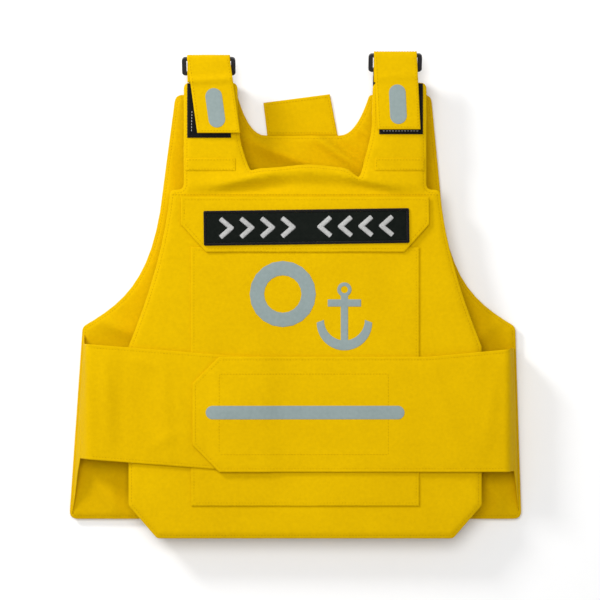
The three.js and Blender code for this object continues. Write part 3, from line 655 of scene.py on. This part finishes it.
# %% Front panel
front_shell = cloth("front_shell", FRONT_EDGE, lay(front_top), CLOTH, SHELL, step=4.2, holes=(BAY,))
dress(front_shell, "front", "shell", "front_cover")
front_gusset = gusset(
    "front_gusset", FRONT_EDGE,
    lambda p: front_floor(p) + 0.7, lambda p: front_top(p) - 0.7, 1.0, 1.6, SHELL,
)
dress(front_gusset, "front", "shell", "front_cover")
front_inside = cloth("front_inside", FRONT_EDGE, lay(front_floor), 1.2, LINING, step=7, seam=0.2)
dress(front_inside, "front", "lining", "front_lining")


def bladder_top(points):
    return front_top(points) - 1.6 + 0.5 * ripple(points, 22, 6.6)


front_pad = pad(
    "front_pad", moved_in(FRONT_EDGE, 4), lambda p: front_floor(p) + 1, bladder_top, 4, BLADDER,
    holes=(moved_in(BAY, 1.5),),
)
dress(front_pad, "front", "bladder", "front_bladder")
lay_sheet(front_shell, FRONT_EDGE, (BAY,))
lay_sheet(front_inside, FRONT_EDGE)
print("front:", [round(d * 1000) for d in front_shell.dimensions], "mm")

# %% Back panel
BACK_TOP = mm_box("back_lining")[1].z


def back_folds(points):
    """Slack in the neck opening, and a soft fold from each armhole to the hem corner."""
    return folds(
        points,
        ((-70, 182), (44, 138), 5.4, 6), ((-60, 160), (30, 128), -3.0, 6),
        ((8, 188), (86, 136), 6.0, 5), ((34, 180), (98, 138), -3.4, 5), ((56, 200), (106, 168), 4.0, 5),
        ((-150, 190), (-128, 60), 1.8, 6), ((-226, -26), (-168, -50), 4.4, 9),
        ((236, -26), (176, -70), 3.6, 8), ((196, -30), (216, -62), 2.0, 6),
        ((-238, -196), (-196, -250), 2.6, 8), ((-214, -190), (-200, -246), 2.0, 6),
        ((208, -196), (238, -246), 4.4, 8), ((250, -200), (222, -250), 2.0, 6),
    )


def back_top(points):
    edge = distance_to(BACK_EDGE, points)
    roll = 2.0 * (1 - smooth(edge / 7))
    return BACK_TOP - CLOTH / 2 + 0.5 * ripple(points, 46, 2.2) + back_folds(points) - roll


back_lining = cloth("back_lining_cloth", BACK_EDGE, lay(back_top), CLOTH, LINING, step=4.6)
dress(back_lining, "back", "lining", "back_lining")
back_pad = pad(
    "back_pad", moved_in(BACK_EDGE, 1.2), lambda p: np.zeros(len(p)) + 0.1,
    lambda p: back_top(p) - 0.75, 3, SHELL, step=7,
)
dress(back_pad, "back", "shell", "back_cover", "back_bladder")
lay_sheet(back_lining, BACK_EDGE)
print("back:", [round(d * 1000) for d in back_lining.dimensions], "mm")

# %% [markdown]
# ## Pocket panel, chest flap and waistband
# These are single sheets sewn along one edge or all round. Every sheet lies on the one before it,
# so each height function starts from the layer below and adds the clearance the model leaves.
# The bands turn down at the sides, so their pattern is bent round a soft corner.


# %% Sheets laid on the front
POCKET = loops_of("pocket_panel")[0]
POCKET_TOP = mm_box("pocket_panel")[1].z


def pocket_height(points):
    """The middle of the pocket's cloth."""
    return POCKET_TOP - CLOTH / 2 + front_ripple(points)


pocket = cloth("pocket_cloth", POCKET, lay(pocket_height), CLOTH, SHELL, step=4.6, seam=0.45)
lay_sheet(dress(pocket, "front", "shell", "pocket_panel"), POCKET)

CHEST_FLAP = loops_of("chest_flap")[0]


def flap_height(points):
    """The flap lifts a little at its free corners."""
    x, y = points.T
    down = smooth((FLAP_HIGH.y - y) / 60)
    lift = 0.9 * down * np.exp(-(((np.abs(x - MIDDLE) - 112) / 22) ** 2))
    sag = 0.5 * down * ripple(points, 33, 8.8) ** 2
    return FLAP_HIGH.z - CLOTH / 2 + front_ripple(points) + lift + sag


chest_flap = cloth("chest_flap_cloth", CHEST_FLAP, lay(flap_height), CLOTH, SHELL, step=4, seam=0.45)
lay_sheet(dress(chest_flap, "chest_flap", "shell", "chest_flap"), CHEST_FLAP)
print("chest flap:", [round(d * 1000) for d in chest_flap.dimensions], "mm")

# %% How a band bends
CORNER = 5
SEW_IN = 3


def side_of_back(y, side):
    """Where the wall's foot is sewn, a little inside the back's edge."""
    edge = BACK_EDGE[BACK_EDGE[:, 0] * side > 200]
    edge = edge[np.argsort(edge[:, 1])]
    return np.interp(y, edge[:, 1], edge[:, 0]) - side * SEW_IN


class Bend:
    """A band's pattern carried flat to its crease, round it and down a wall that leans outwards."""

    def __init__(self, crease, side, level, floor, length):
        self.crease, self.side, self.level = crease, side, level
        self.floor, self.length = floor, length
        self.middle = crease + side * length * 0.5
        self.foot = crease + side * length

    def __call__(self, points, offset):
        x, y = points.T
        along = (x - self.crease) * self.side
        held = np.column_stack([np.where(along > 0, self.crease, x), y])
        top = self.level(held)
        height = self.level(np.column_stack([np.full(len(y), self.crease), y])) - self.floor
        width = (side_of_back(y, self.side) - self.crease) * self.side
        slope = np.arctan2(height, width)
        for _ in range(8):
            slope = np.arctan2(height - CORNER * (1 - np.cos(slope)), width - CORNER * np.sin(slope))
        wall = (height - CORNER * (1 - np.cos(slope))) / np.sin(slope)
        along = np.where(along > 0, along * (CORNER * slope + wall) / self.length, along)
        turn = np.clip(along / CORNER, 0, slope)
        past = np.clip(along - CORNER * slope, 0, None)
        share = np.clip(past / wall, 0, 1)
        bulge = 1.5 * np.sin(math.pi * share) * (1 + ripple(points, 40, 5.5))
        out = offset + bulge
        reach = np.minimum(along, 0) + CORNER * np.sin(turn) + past * np.cos(slope) + out * np.sin(turn)
        drop = CORNER * (1 - np.cos(turn)) + past * np.sin(slope) - out * np.cos(turn)
        return np.column_stack([self.crease + self.side * reach, y, top - drop])


def long_band(loop, fold, end):
    """The band's outline with its fold edge carried on to the pattern's end."""
    at_fold = np.abs(loop[:, 0] - fold) < 0.6
    first = int(np.argmax(~at_fold))
    made = []
    for point, here in zip(np.roll(loop, -first, axis=0), np.roll(at_fold, -first)):
        if not here:
            made.append(tuple(point))
            continue
        further = (end, point[1])
        entered = abs(made[-1][0] - end) < 1e-6
        made.extend([further, tuple(point)] if entered else [tuple(point), further])
    return np.array(made)


# %% Under band
UNDER = mm_box("under_band")
OUTER = mm_box("outer_band")
UNDER_FOLD, OUTER_FOLD = UNDER[0].x, OUTER[1].x
HOOK = mm_box("outer_hook_panel")
FLOOR_OF_WALL = BACK_TOP - 0.6


def beyond_front(x):
    """How far past the front panel's side, where a band hangs free and sags."""
    return smooth((np.abs(x - MIDDLE) - (FRONT_HIGH.x - MIDDLE) + 6) / 16)


def under_level(points):
    x = points[:, 0]
    creases = folds(
        points, ((-150, -60), (-140, -190), 1.9, 8), ((-136, -96), (-118, -176), 1.4, 6),
        ((-214, -62), (-206, -176), 2.4, 8), ((-198, -76), (-156, -150), -1.8, 9),
        ((-186, -70), (-150, -84), 1.3, 6), ((-170, -176), (-128, -150), 1.2, 7),
    )
    return UNDER[1].z - CLOTH / 2 + front_ripple(points) - 1.3 * beyond_front(x) + creases


under_bend = Bend(UNDER_FOLD + 5, -1, under_level, FLOOR_OF_WALL, 36)
UNDER_PATTERN = long_band(loops_of("under_band")[0], UNDER_FOLD, under_bend.middle)
under_band = cloth("under_band_cloth", UNDER_PATTERN, under_bend, CLOTH, SHELL, step=4.6, seam=0.4)
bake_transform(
    under_band, "under_side", "under_band",
    Vector((UNDER_FOLD - 1, 0, UNDER[1].z - 9)) * MM, Vector((UNDER_FOLD + 16, 0, UNDER[1].z)) * MM,
)
lay_sheet(dress(under_band, "under_band", "shell", "under_band"), UNDER_PATTERN)


def side_wall(name, bend, rise, drop):
    """A band's side panel down to the back's edge, where it runs on past the band's width."""
    low, high = (corner.y for corner in mm_box(f"{name}_panel"))
    pattern = np.array([
        (bend.middle, low), (bend.foot, low - drop), (bend.foot, high + rise), (bend.middle, high),
    ])
    pattern = pattern if bend.side > 0 else pattern[::-1]
    wall = cloth(f"{name}_cloth", pattern, bend, CLOTH, SHELL, step=4, seam=0.3)
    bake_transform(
        wall, "back", name, Vector((0, 0, BACK_TOP - 1)) * MM, Vector((0, 0, BACK_TOP + 9)) * MM,
    )
    lay_sheet(dress(wall, name, "shell", f"{name}_panel"), pattern)


side_wall("under_side", under_bend, rise=10, drop=64)

# %% Outer band


def outer_level(points):
    """It steps down past the under band's tip, onto the pocket panel, and droops at its own tip."""
    x = points[:, 0]
    step = 2.3 * smooth((x - UNDER[1].x - 2) / 26)
    droop = 1.1 * smooth((HOOK[0].x - x) / 12)
    buckle = folds(
        points, ((150, -70), (186, -190), 1.1, 9), ((222, -80), (214, -180), 1.4, 7),
        ((190, -64), (236, -84), 0.8, 6),
    )
    sag = 1.2 * beyond_front(x)
    return OUTER[1].z - CLOTH / 2 + front_ripple(points) - step - droop + buckle - sag


outer_bend = Bend(OUTER_FOLD - 13, 1, outer_level, FLOOR_OF_WALL, 41)
OUTER_PATTERN = long_band(loops_of("outer_band")[0], OUTER_FOLD, outer_bend.middle)
outer_band = cloth("outer_band_cloth", OUTER_PATTERN, outer_bend, CLOTH, SHELL, step=4.6, seam=0.45)
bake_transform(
    outer_band, "outer_side", "outer_band",
    Vector((OUTER_FOLD - 4, 0, OUTER[1].z - 12)) * MM, Vector((OUTER_FOLD - 22, 0, OUTER[1].z)) * MM,
)
lay_sheet(dress(outer_band, "outer_band", "shell", "outer_band"), OUTER_PATTERN)

side_wall("outer_side", outer_bend, rise=0, drop=46)
print("waistband:", round(float(np.ptp(OUTER_PATTERN[:, 0]))), "mm of outer band")

# %% Bonded film and tape panels


def bonded(name, node, height, thickness, gap, material, body, slot_name, step=3.5):
    """A thin piece cut to a node's outline and laid gap above a cloth's upper face."""
    outline, *holes = loops_of(node)
    piece = cloth(
        name, outline, lay(lambda p: height(p) + CLOTH / 2 + gap + thickness / 2),
        thickness, material, step=step, rings=(0.3, 0.9), holes=holes, seam=0,
    )
    return dress(piece, body, slot_name, node)


FILM_SIZES = 0.3, 0.03  # thickness, and the glue line under it
for sign in ("buoy", "anchor"):
    bonded(
        f"emblem_{sign}_film", f"emblem_{sign}", pocket_height, *FILM_SIZES, FILM, "front", "film",
        step=2.5,
    )
bonded(
    "reflective_bar_film", "outer_reflective_bar", outer_level, *FILM_SIZES, FILM, "outer_band", "film",
)
low, high = (corner.xy for corner in mm_box("under_loop_panel"))
LOOP_PANEL = np.array([
    (low.x + 18, low.y), (high.x, low.y), (high.x, high.y),
    (low.x + 18, high.y), (low.x, high.y - 18), (low.x, low.y + 18),
])
under_loop = cloth(
    "under_loop_tape", LOOP_PANEL, lay(lambda p: under_level(p) + CLOTH / 2 + 0.5), 0.8, TAPE,
    step=4, rings=(0.3, 0.9), seam=0,
)
dress(under_loop, "under_band", "tape", "under_loop_panel")
bonded(
    "outer_hook_tape", "outer_hook_panel", lambda p: outer_level(p) - CLOTH - 1.0, 0.8, 0.05,
    TAPE, "outer_band", "tape",
)

# %% [markdown]
# ## Straps, rings and tapes
# A strap goes over the ring's bar and back on itself, so its pattern is carried along a line seen
# from the side: flat, round the bar and back. The webbing that holds the ring is made the same way.
# The rings are moulded, so the model's own ring is copied and its sharp edges are rounded.


# %% Strips that follow a side view
class Route:
    """Carries a pattern's length along a line of (y, z) places, starting at pattern height first."""

    def __init__(self, line, first=0.0, rise=None):
        self.line = np.array(line, float)
        steps = np.linalg.norm(np.diff(self.line, axis=0), axis=1)
        self.run = np.concatenate([[0], np.cumsum(steps)]) + first
        ahead = np.gradient(self.line, self.run, axis=0)
        ahead /= np.linalg.norm(ahead, axis=1, keepdims=True)
        self.normal = np.column_stack([-ahead[:, 1], ahead[:, 0]])
        self.rise = rise

    def __call__(self, points, offset):
        x, v = points.T
        y, z, ny, nz = (
            np.interp(v, self.run, column) for column in (*self.line.T, *self.normal.T)
        )
        if self.rise is not None:
            offset = offset + self.rise(points)
        return np.column_stack([x, y + ny * offset, z + nz * offset])


def arc(centre, radius, first, last, steps=14):
    turns = np.radians(np.linspace(first, last, steps))
    return [(centre[0] + radius * math.cos(t), centre[1] + radius * math.sin(t)) for t in turns]


def lifted(place, gap):
    return lambda points, offset: place(points, offset + gap)


# %% Threads and stitch rows
def threads(name, starts, ends, place, material, width, lift):
    """One rounded thread from each start to its end, sunk at both ends, all as one mesh."""
    shares = np.array([0, 0.25, 0.75, 1])[None, :, None]
    flat = (starts[:, None] * (1 - shares) + ends[:, None] * shares).reshape(-1, 2)
    zero = np.zeros(len(flat))
    base = place(flat, zero)
    up = place(flat, zero + 1) - base
    up /= np.linalg.norm(up, axis=1, keepdims=True)
    base = base + up * np.tile([-0.15, lift, lift, -0.15], len(starts))[:, None]
    base, up = base.reshape(-1, 4, 3), up.reshape(-1, 4, 3)
    ahead = base[:, 3] - base[:, 0]
    ahead /= np.linalg.norm(ahead, axis=1, keepdims=True)
    side = np.cross(up[:, 1], ahead)
    rings = []
    for k in (1, 2):
        for turn in np.linspace(0, 2 * math.pi, 6, endpoint=False):
            swing = math.cos(turn) * side + 0.6 * math.sin(turn) * up[:, k]
            rings.append(base[:, k] + swing * width / 2)
    places = np.stack([base[:, 0], *rings, base[:, 3]], axis=1).reshape(-1, 3)
    one = []
    for i in range(6):
        j = (i + 1) % 6
        one.extend([(0, 1 + j, 1 + i), (1 + i, 1 + j, 7 + j, 7 + i), (13, 7 + i, 7 + j)])
    faces = [tuple(14 * n + i for i in face) for n in range(len(starts)) for face in one]
    return make_mesh(name, places, faces, material)


def stitch_spots(line, pitch=STITCH_PITCH, length=STITCH_LENGTH):
    steps = np.linalg.norm(np.diff(line, axis=0), axis=1)
    run = np.concatenate([[0], np.cumsum(steps)])
    starts = np.arange(pitch / 2, run[-1] - length, pitch)
    return [
        np.column_stack([np.interp(spots, run, line[:, k]) for k in (0, 1)])
        for spots in (starts, starts + length)
    ]


def stitch_rows(name, lines, place, body, material=None, width=0.7):
    """Rows of stitches along pattern lines, on the upper face of a cloth that place carries."""
    pairs = [stitch_spots(line) for line in lines]
    starts, ends = (np.concatenate([pair[k] for pair in pairs]) for k in (0, 1))
    piece = threads(name, starts, ends, place, material or THREAD, width, 0.05)
    if body:
        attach(piece, body)
    return piece


def ring_line(loop, inset=SEAM_INSET):
    return closed_line(moved_in(loop, inset))


# %% Straps
CREASE_HEIGHT = {"left": 2.3, "right": 0.9}
STRAP_THICK = 1.9


def shoulder(side, flap_body):
    low, high = mm_box(f"{side}_strap")
    free = loops_of(f"{side}_strap_flap")[0]
    middle, half = (low.x + high.x) / 2, (high.x - low.x) / 2
    radius = (high.z - low.z) / 2 - 1
    bar = (high.y - radius - 1, (low.z + high.z) / 2)
    tip = free[:, 1].min()
    tip_x = np.sort(free[np.abs(free[:, 1] - tip) < 0.5][:, 0])

    def rise(points):
        x, v = points.T
        crease_line = tip + 59 + 0.06 * (x - middle)
        crease = CREASE_HEIGHT[side] * np.exp(-(((v - crease_line) / 3.4) ** 2))
        curl = 0.5 * smooth((tip + 14 - v) / 14)
        sway = 0.35 * ripple(points, 24, 3.1) * (v < bar[0])
        return (crease + curl) * (v < bar[0]) + sway

    line = [(tip, bar[1] + radius), *arc(bar, radius, 90, -90), (low.y, bar[1] - radius)]
    place = Route(line, first=tip, rise=rise)
    end = place.run[-1]
    turn = bar[0] + radius * math.pi / 2
    pattern = np.array([
        (tip_x[0], tip), (tip_x[-1], tip), (middle + half, bar[0]),
        (middle + half, turn), (middle - half, turn), (middle - half, bar[0]),
    ])
    rings = (0.35, 1.0, 2.6, 4.2)
    flap = cloth(
        f"{side}_strap_flap_cloth", pattern, place, STRAP_THICK, SHELL, step=3.2, rings=rings, seam=0.3,
    )
    bend_from, bend_to = (Vector((0, bar[0] + y, 0)) * MM for y in (0.2, -7))
    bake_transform(flap, "front", flap_body, bend_from, bend_to)
    dress(flap, flap_body, "shell", f"{side}_strap_flap")
    under = box_loop((middle - half, turn), (middle + half, end))
    loop = cloth(f"{side}_strap_cloth", under, place, STRAP_THICK, SHELL, step=3.2, rings=rings, seam=0.3)
    dress(loop, "front", "shell", f"{side}_strap")
    seam = moved_in(pattern, 2.6)
    edge = closed_line(seam)[[5, 0, 1, 2]]
    edge = spaced(edge, 2, closed=False)
    seam_row = stitch_rows(f"{side}_strap_stitches", [edge], lifted(place, 0.8), None)
    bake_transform(seam_row, "front", flap_body, bend_from, bend_to)
    film = cloth(
        f"{side}_strap_film", loops_of(f"{side}_strap_reflector")[0], lifted(place, 1.15), 0.3, FILM,
        step=2.5, rings=(0.3, 0.9), seam=0,
    )
    dress(film, flap_body, "film", f"{side}_strap_reflector")
    hook = cloth(
        f"{side}_hook_cloth", loops_of(f"{side}_hook_tape")[0], lifted(place, -1.95), 1.7, TAPE,
        step=3.5, rings=(0.4, 1.2), seam=0,
    )
    dress(hook, flap_body, "tape", f"{side}_hook_tape")
    return middle, bar


for side in ("left", "right"):
    middle, bar = shoulder(side, f"{side}_flap")
    print(side, "strap bar at", [round(float(v), 1) for v in bar])

# %% Loop tapes and patches on the shoulder tabs


def on_front(gap):
    return lay(lambda p: front_top(p) + CLOTH / 2 + gap)


for side in ("left", "right"):
    outline = loops_of(f"{side}_loop_tape")[0]
    tape = cloth(
        f"{side}_loop_cloth", outline, on_front(0.95), 1.7, TAPE, step=3.5, rings=(0.4, 1.2, 2.4), seam=0.2,
    )
    dress(tape, "front", "tape", f"{side}_loop_tape")
    inner = moved_in(outline, 2.2)
    sides = spaced(closed_line(inner), 2, closed=False)
    stitch_rows(f"{side}_tape_stitches", [sides], on_front(1.75), "front", BORDER)
    low, high = inner.min(0), inner.max(0)
    foot = np.array([(low[0], low[1] + 1.4), (high[0], low[1] + 1.4)])
    upright = np.array([(low[0] + 2.6, low[1] + 3), (low[0] + 3.2, low[1] + 29)])
    tacks = [upright] if side == "left" else [foot]
    stitch_rows(f"{side}_tack_stitches", tacks, on_front(1.8), "front", WHITE_THREAD)
    patch_outline = loops_of(f"{side}_tab_patch")[0]
    patch = cloth(
        f"{side}_tab_patch_cloth", patch_outline, on_front(0.45), 0.8, SHELL,
        step=3.5, rings=(0.35, 1.0, 2.4), seam=0.2,
    )
    dress(patch, "front", "shell", f"{side}_tab_patch")
    stitch_rows(f"{side}_patch_stitches", [ring_line(patch_outline, 1.8)], on_front(0.75), "front")

# %% Rings and their webbing


def rounded_copy(node, width, segments, name):
    """A copy of a model node, welded, with its sharp edges bevelled."""
    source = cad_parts[node]
    copy = bpy.data.objects.new(name, source.data.copy())
    bpy.context.scene.collection.objects.link(copy)
    bpy.ops.object.select_all(action="DESELECT")
    bpy.context.view_layer.objects.active = copy
    copy.select_set(True)
    bpy.ops.object.mode_set(mode="EDIT")
    bpy.ops.mesh.select_all(action="SELECT")
    bpy.ops.mesh.remove_doubles(threshold=0.00002)
    bpy.ops.mesh.tris_convert_to_quads()
    bpy.ops.object.mode_set(mode="OBJECT")
    bevel = copy.modifiers.new("bevel", "BEVEL")
    bevel.width = width * MM
    bevel.segments = segments
    bevel.limit_method = "ANGLE"
    bevel.angle_limit = math.radians(40)
    bpy.ops.object.modifier_apply(modifier="bevel")
    bpy.ops.object.shade_smooth_by_angle(angle=math.radians(35))
    copy.select_set(False)
    return copy


WEBBING_TURN = 2.846  # inner radius of its turn round the ring's lower bar
WEBBING_HALF = 0.8
for side in ("left", "right"):
    ring = rounded_copy(f"{side}_ring", 1.3, 4, f"{side}_moulded_ring")
    ring.data.materials.clear()
    ring.data.materials.append(RING)
    dress(ring, "back", "ring", f"{side}_ring")
    low, high = mm_box(f"{side}_ring_webbing")
    reach = WEBBING_TURN + WEBBING_HALF
    bar = (high.y - reach - WEBBING_HALF, high.z - reach - WEBBING_HALF)
    line = [
        (low.y - 4, 5.2), (bar[0] - 11, 5.0), (bar[0] - 7.5, 6.4), (bar[0] - 5.2, 10), (bar[0] - 4.2, 17),
        *arc(bar, reach, 185, -60), (bar[0] - 1.6, bar[1] - 8), (bar[0] - 2.3, 16), (bar[0] - 2.6, 12),
    ]
    place = Route(line)
    strip = box_loop((low.x, 0), (high.x, place.run[-1]))
    webbing = cloth(
        f"{side}_ring_strap", strip, place, 1.5, WEBBING, step=3, rings=(0.4, 1.2), seam=0,
    )
    dress(webbing, "back", "webbing", f"{side}_ring_webbing")

# %% Neck tab
NECK_TAB = loops_of("neck_tab")[0]
NECK_ROOT = mm_box("neck_tab")[0].y


def neck_height(points):
    free = smooth((points[:, 1] - NECK_ROOT) / 45)
    return 0.8 + free * (1.0 + 0.9 * ripple(points, 26, 7.3))


neck_tab = cloth(
    "neck_tab_cloth", NECK_TAB, lay(neck_height), 1.4, SHELL, step=3.2, rings=(0.35, 1.0, 2.6, 4.2),
)
dress(neck_tab, "neck_tab", "shell", "neck_tab")
lay_sheet(neck_tab, NECK_TAB)
print("neck tab:", [round(d * 1000) for d in neck_tab.dimensions], "mm")

# %% [markdown]
# ## Patch and seams
# The patch is twill with a thick overlocked border. Its signs are satin stitch: parallel threads
# laid side by side across each stroke over a raised base. They are plain arrows, not lettering.
# Then every seam gets its row of topstitching.

# %% Patch
PATCH_FACE = loops_of("patch_face")[0]
PATCH_OUTER = loops_of("patch_border")[0]


def on_flap(gap):
    return lay(lambda p: flap_height(p) + CLOTH / 2 + gap)


patch_face = cloth("patch_twill_face", PATCH_FACE, on_flap(0.7), 1.1, TWILL, step=4, rings=(0.4, 1.2), seam=0)
dress(patch_face, "chest_flap", "patch", "patch_face")
edge_line = spaced(moved_in(PATCH_OUTER, 1.5), 0.36)
around = np.arange(len(edge_line))
wound = 1 + 0.09 * np.cos(around * 2 * math.pi / 3) + 0.03 * ripple(edge_line, 4, 1.9)
centres = on_flap(0.9)(edge_line, np.zeros(len(edge_line)))
patch_border = tube("patch_overlock", centres, 1.5, BORDER, sides=8, swell=wound)
dress(patch_border, "chest_flap", "patch", "patch_border")


# %% Signs in satin stitch
STROKE = 6.2
CHEVRON_WIDTH = 14
CHEVRON_HEIGHT = 25


def chevron(x, point):
    """The two arms, outer end to nose, of a > for point +1 and of a < for point -1."""
    nose = np.array([x + point * (CHEVRON_WIDTH - STROKE) / 2, 0])
    tail = x - point * CHEVRON_WIDTH / 2
    rise = (CHEVRON_HEIGHT - STROKE) / 2
    return [(np.array([tail, up * rise]), nose) for up in (1, -1)]


tilt = math.radians(0.8)
turn = np.array([[math.cos(tilt), math.sin(tilt)], [-math.sin(tilt), math.cos(tilt)]])
patch_middle = (PATCH_FACE.min(0) + PATCH_FACE.max(0)) / 2
starts, ends, pads = [], [], []
for group, point in ((-53.5, 1), (53.5, -1)):
    for k in (-1.5, -0.5, 0.5, 1.5):
        for a, b in chevron(group + k * 23, point):
            length = np.linalg.norm(b - a)
            ahead = (b - a) / length
            across = np.array([-ahead[1], ahead[0]]) * STROKE / 2
            steps = np.arange(-1.2, length + 1.9, 0.62)[:, None]
            middles = a + ahead * steps
            reach = 1 + 0.05 * np.sin(np.arange(len(steps)) * 2.4)[:, None]
            starts.append(patch_middle + (middles - across * reach) @ turn)
            ends.append(patch_middle + (middles + across * reach) @ turn)
            tail, nose = a - ahead, b + ahead
            corners = np.array([tail - across, nose - across, nose + across, tail + across])
            pads.append(patch_middle + corners @ turn)
satin = threads(
    "patch_satin", np.concatenate(starts), np.concatenate(ends), on_flap(1.5), WHITE_THREAD, 0.95, 0.1,
)
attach(satin, "chest_flap")
for n, corners in enumerate(pads):
    loop = corners if signed_area(corners) > 0 else corners[::-1]
    base = cloth(
        f"satin_base_{n}", moved_in(loop, 0.5), on_flap(1.4), 0.4, WHITE_THREAD,
        step=3, rings=(0.4,), seam=0,
    )
    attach(base, "chest_flap")

# %% Topstitching
above = CLOTH / 2


def half_line(loop, keep):
    """The part of a closed line whose points pass a test, in order, as separate lines."""
    line = spaced(loop, 2)
    good = keep(line)
    if good.all():
        return [closed_line(line)]
    first = int(np.argmin(good))
    line, good = np.roll(line, -first, axis=0), np.roll(good, -first)
    lines, run = [], []
    for point, here in zip(line, good):
        if here:
            run.append(point)
        elif run:
            lines.append(np.array(run))
            run = []
    if run:
        lines.append(np.array(run))
    return [part for part in lines if len(part) > 3]


def sew(name, lines, height, body, sink=0.0):
    """Stitches on top of a cloth whose middle lies at the given height."""
    stitch_rows(name, lines, lay(lambda p: height(p) + above - sink), body)


sew("front_stitches", [ring_line(FRONT_EDGE)], front_top, "front", 0.2)
span = FRONT_EDGE[np.abs(FRONT_EDGE[:, 1] - FLAP_HIGH.y) < 30][:, 0]
chest_row = np.array([(span.min() + 5, FLAP_HIGH.y + 2.2), (span.max() - 5, FLAP_HIGH.y + 2.2)])
sew("chest_stitches", [spaced(chest_row, 4, closed=False)], front_top, "front")
sew("bay_stitches", [ring_line(BAY)], front_top, "front", 0.2)
sew("back_stitches", [ring_line(BACK_EDGE)], back_top, "back", 0.2)
sew("pocket_stitches", [ring_line(POCKET)], pocket_height, "front", 0.3)
sew("flap_stitches", [ring_line(CHEST_FLAP)], flap_height, "chest_flap", 0.3)
sew("neck_tab_stitches", [ring_line(NECK_TAB, 3)], neck_height, "neck_tab", above - 0.55)

on_under = half_line(moved_in(UNDER_PATTERN, SEAM_INSET), lambda p: p[:, 0] > under_bend.crease)
stitch_rows("under_stitches", on_under, lifted(under_bend, above - 0.3), "under_band")
on_outer = half_line(moved_in(OUTER_PATTERN, SEAM_INSET), lambda p: p[:, 0] < outer_bend.crease)
stitch_rows("outer_stitches", on_outer, lifted(outer_bend, above - 0.3), "outer_band")
HOOK_EDGE = loops_of("outer_hook_panel")[0]
stitch_rows("hook_stitches", [ring_line(HOOK_EDGE, 2)], lifted(outer_bend, above - 0.05), "outer_band")

# %% [markdown]
# ## The gear in the bay
# These pieces are machined or moulded, and the model already has their shape. They keep it and
# only need their finish: glossy plastic for the lever and cap, plated steel for the cylinder.

# %% Finishes of the model's own pieces
GEAR_FINISHES = {
    "inflator_body": GEAR, "inflator_nut": GEAR, "oral_tube": GEAR, "oral_cap": GEAR,
    "gas_cylinder": STEEL, "firing_lever": RED, "pull_toggle": RED, "oral_valve": RED,
    "ready_indicator": GREEN, "pull_cord": WEBBING,
}
for node, finish in GEAR_FINISHES.items():
    model_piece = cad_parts[node]
    for index in range(len(model_piece.material_slots)):
        model_piece.material_slots[index].material = finish
print("finished model pieces:", len(GEAR_FINISHES))
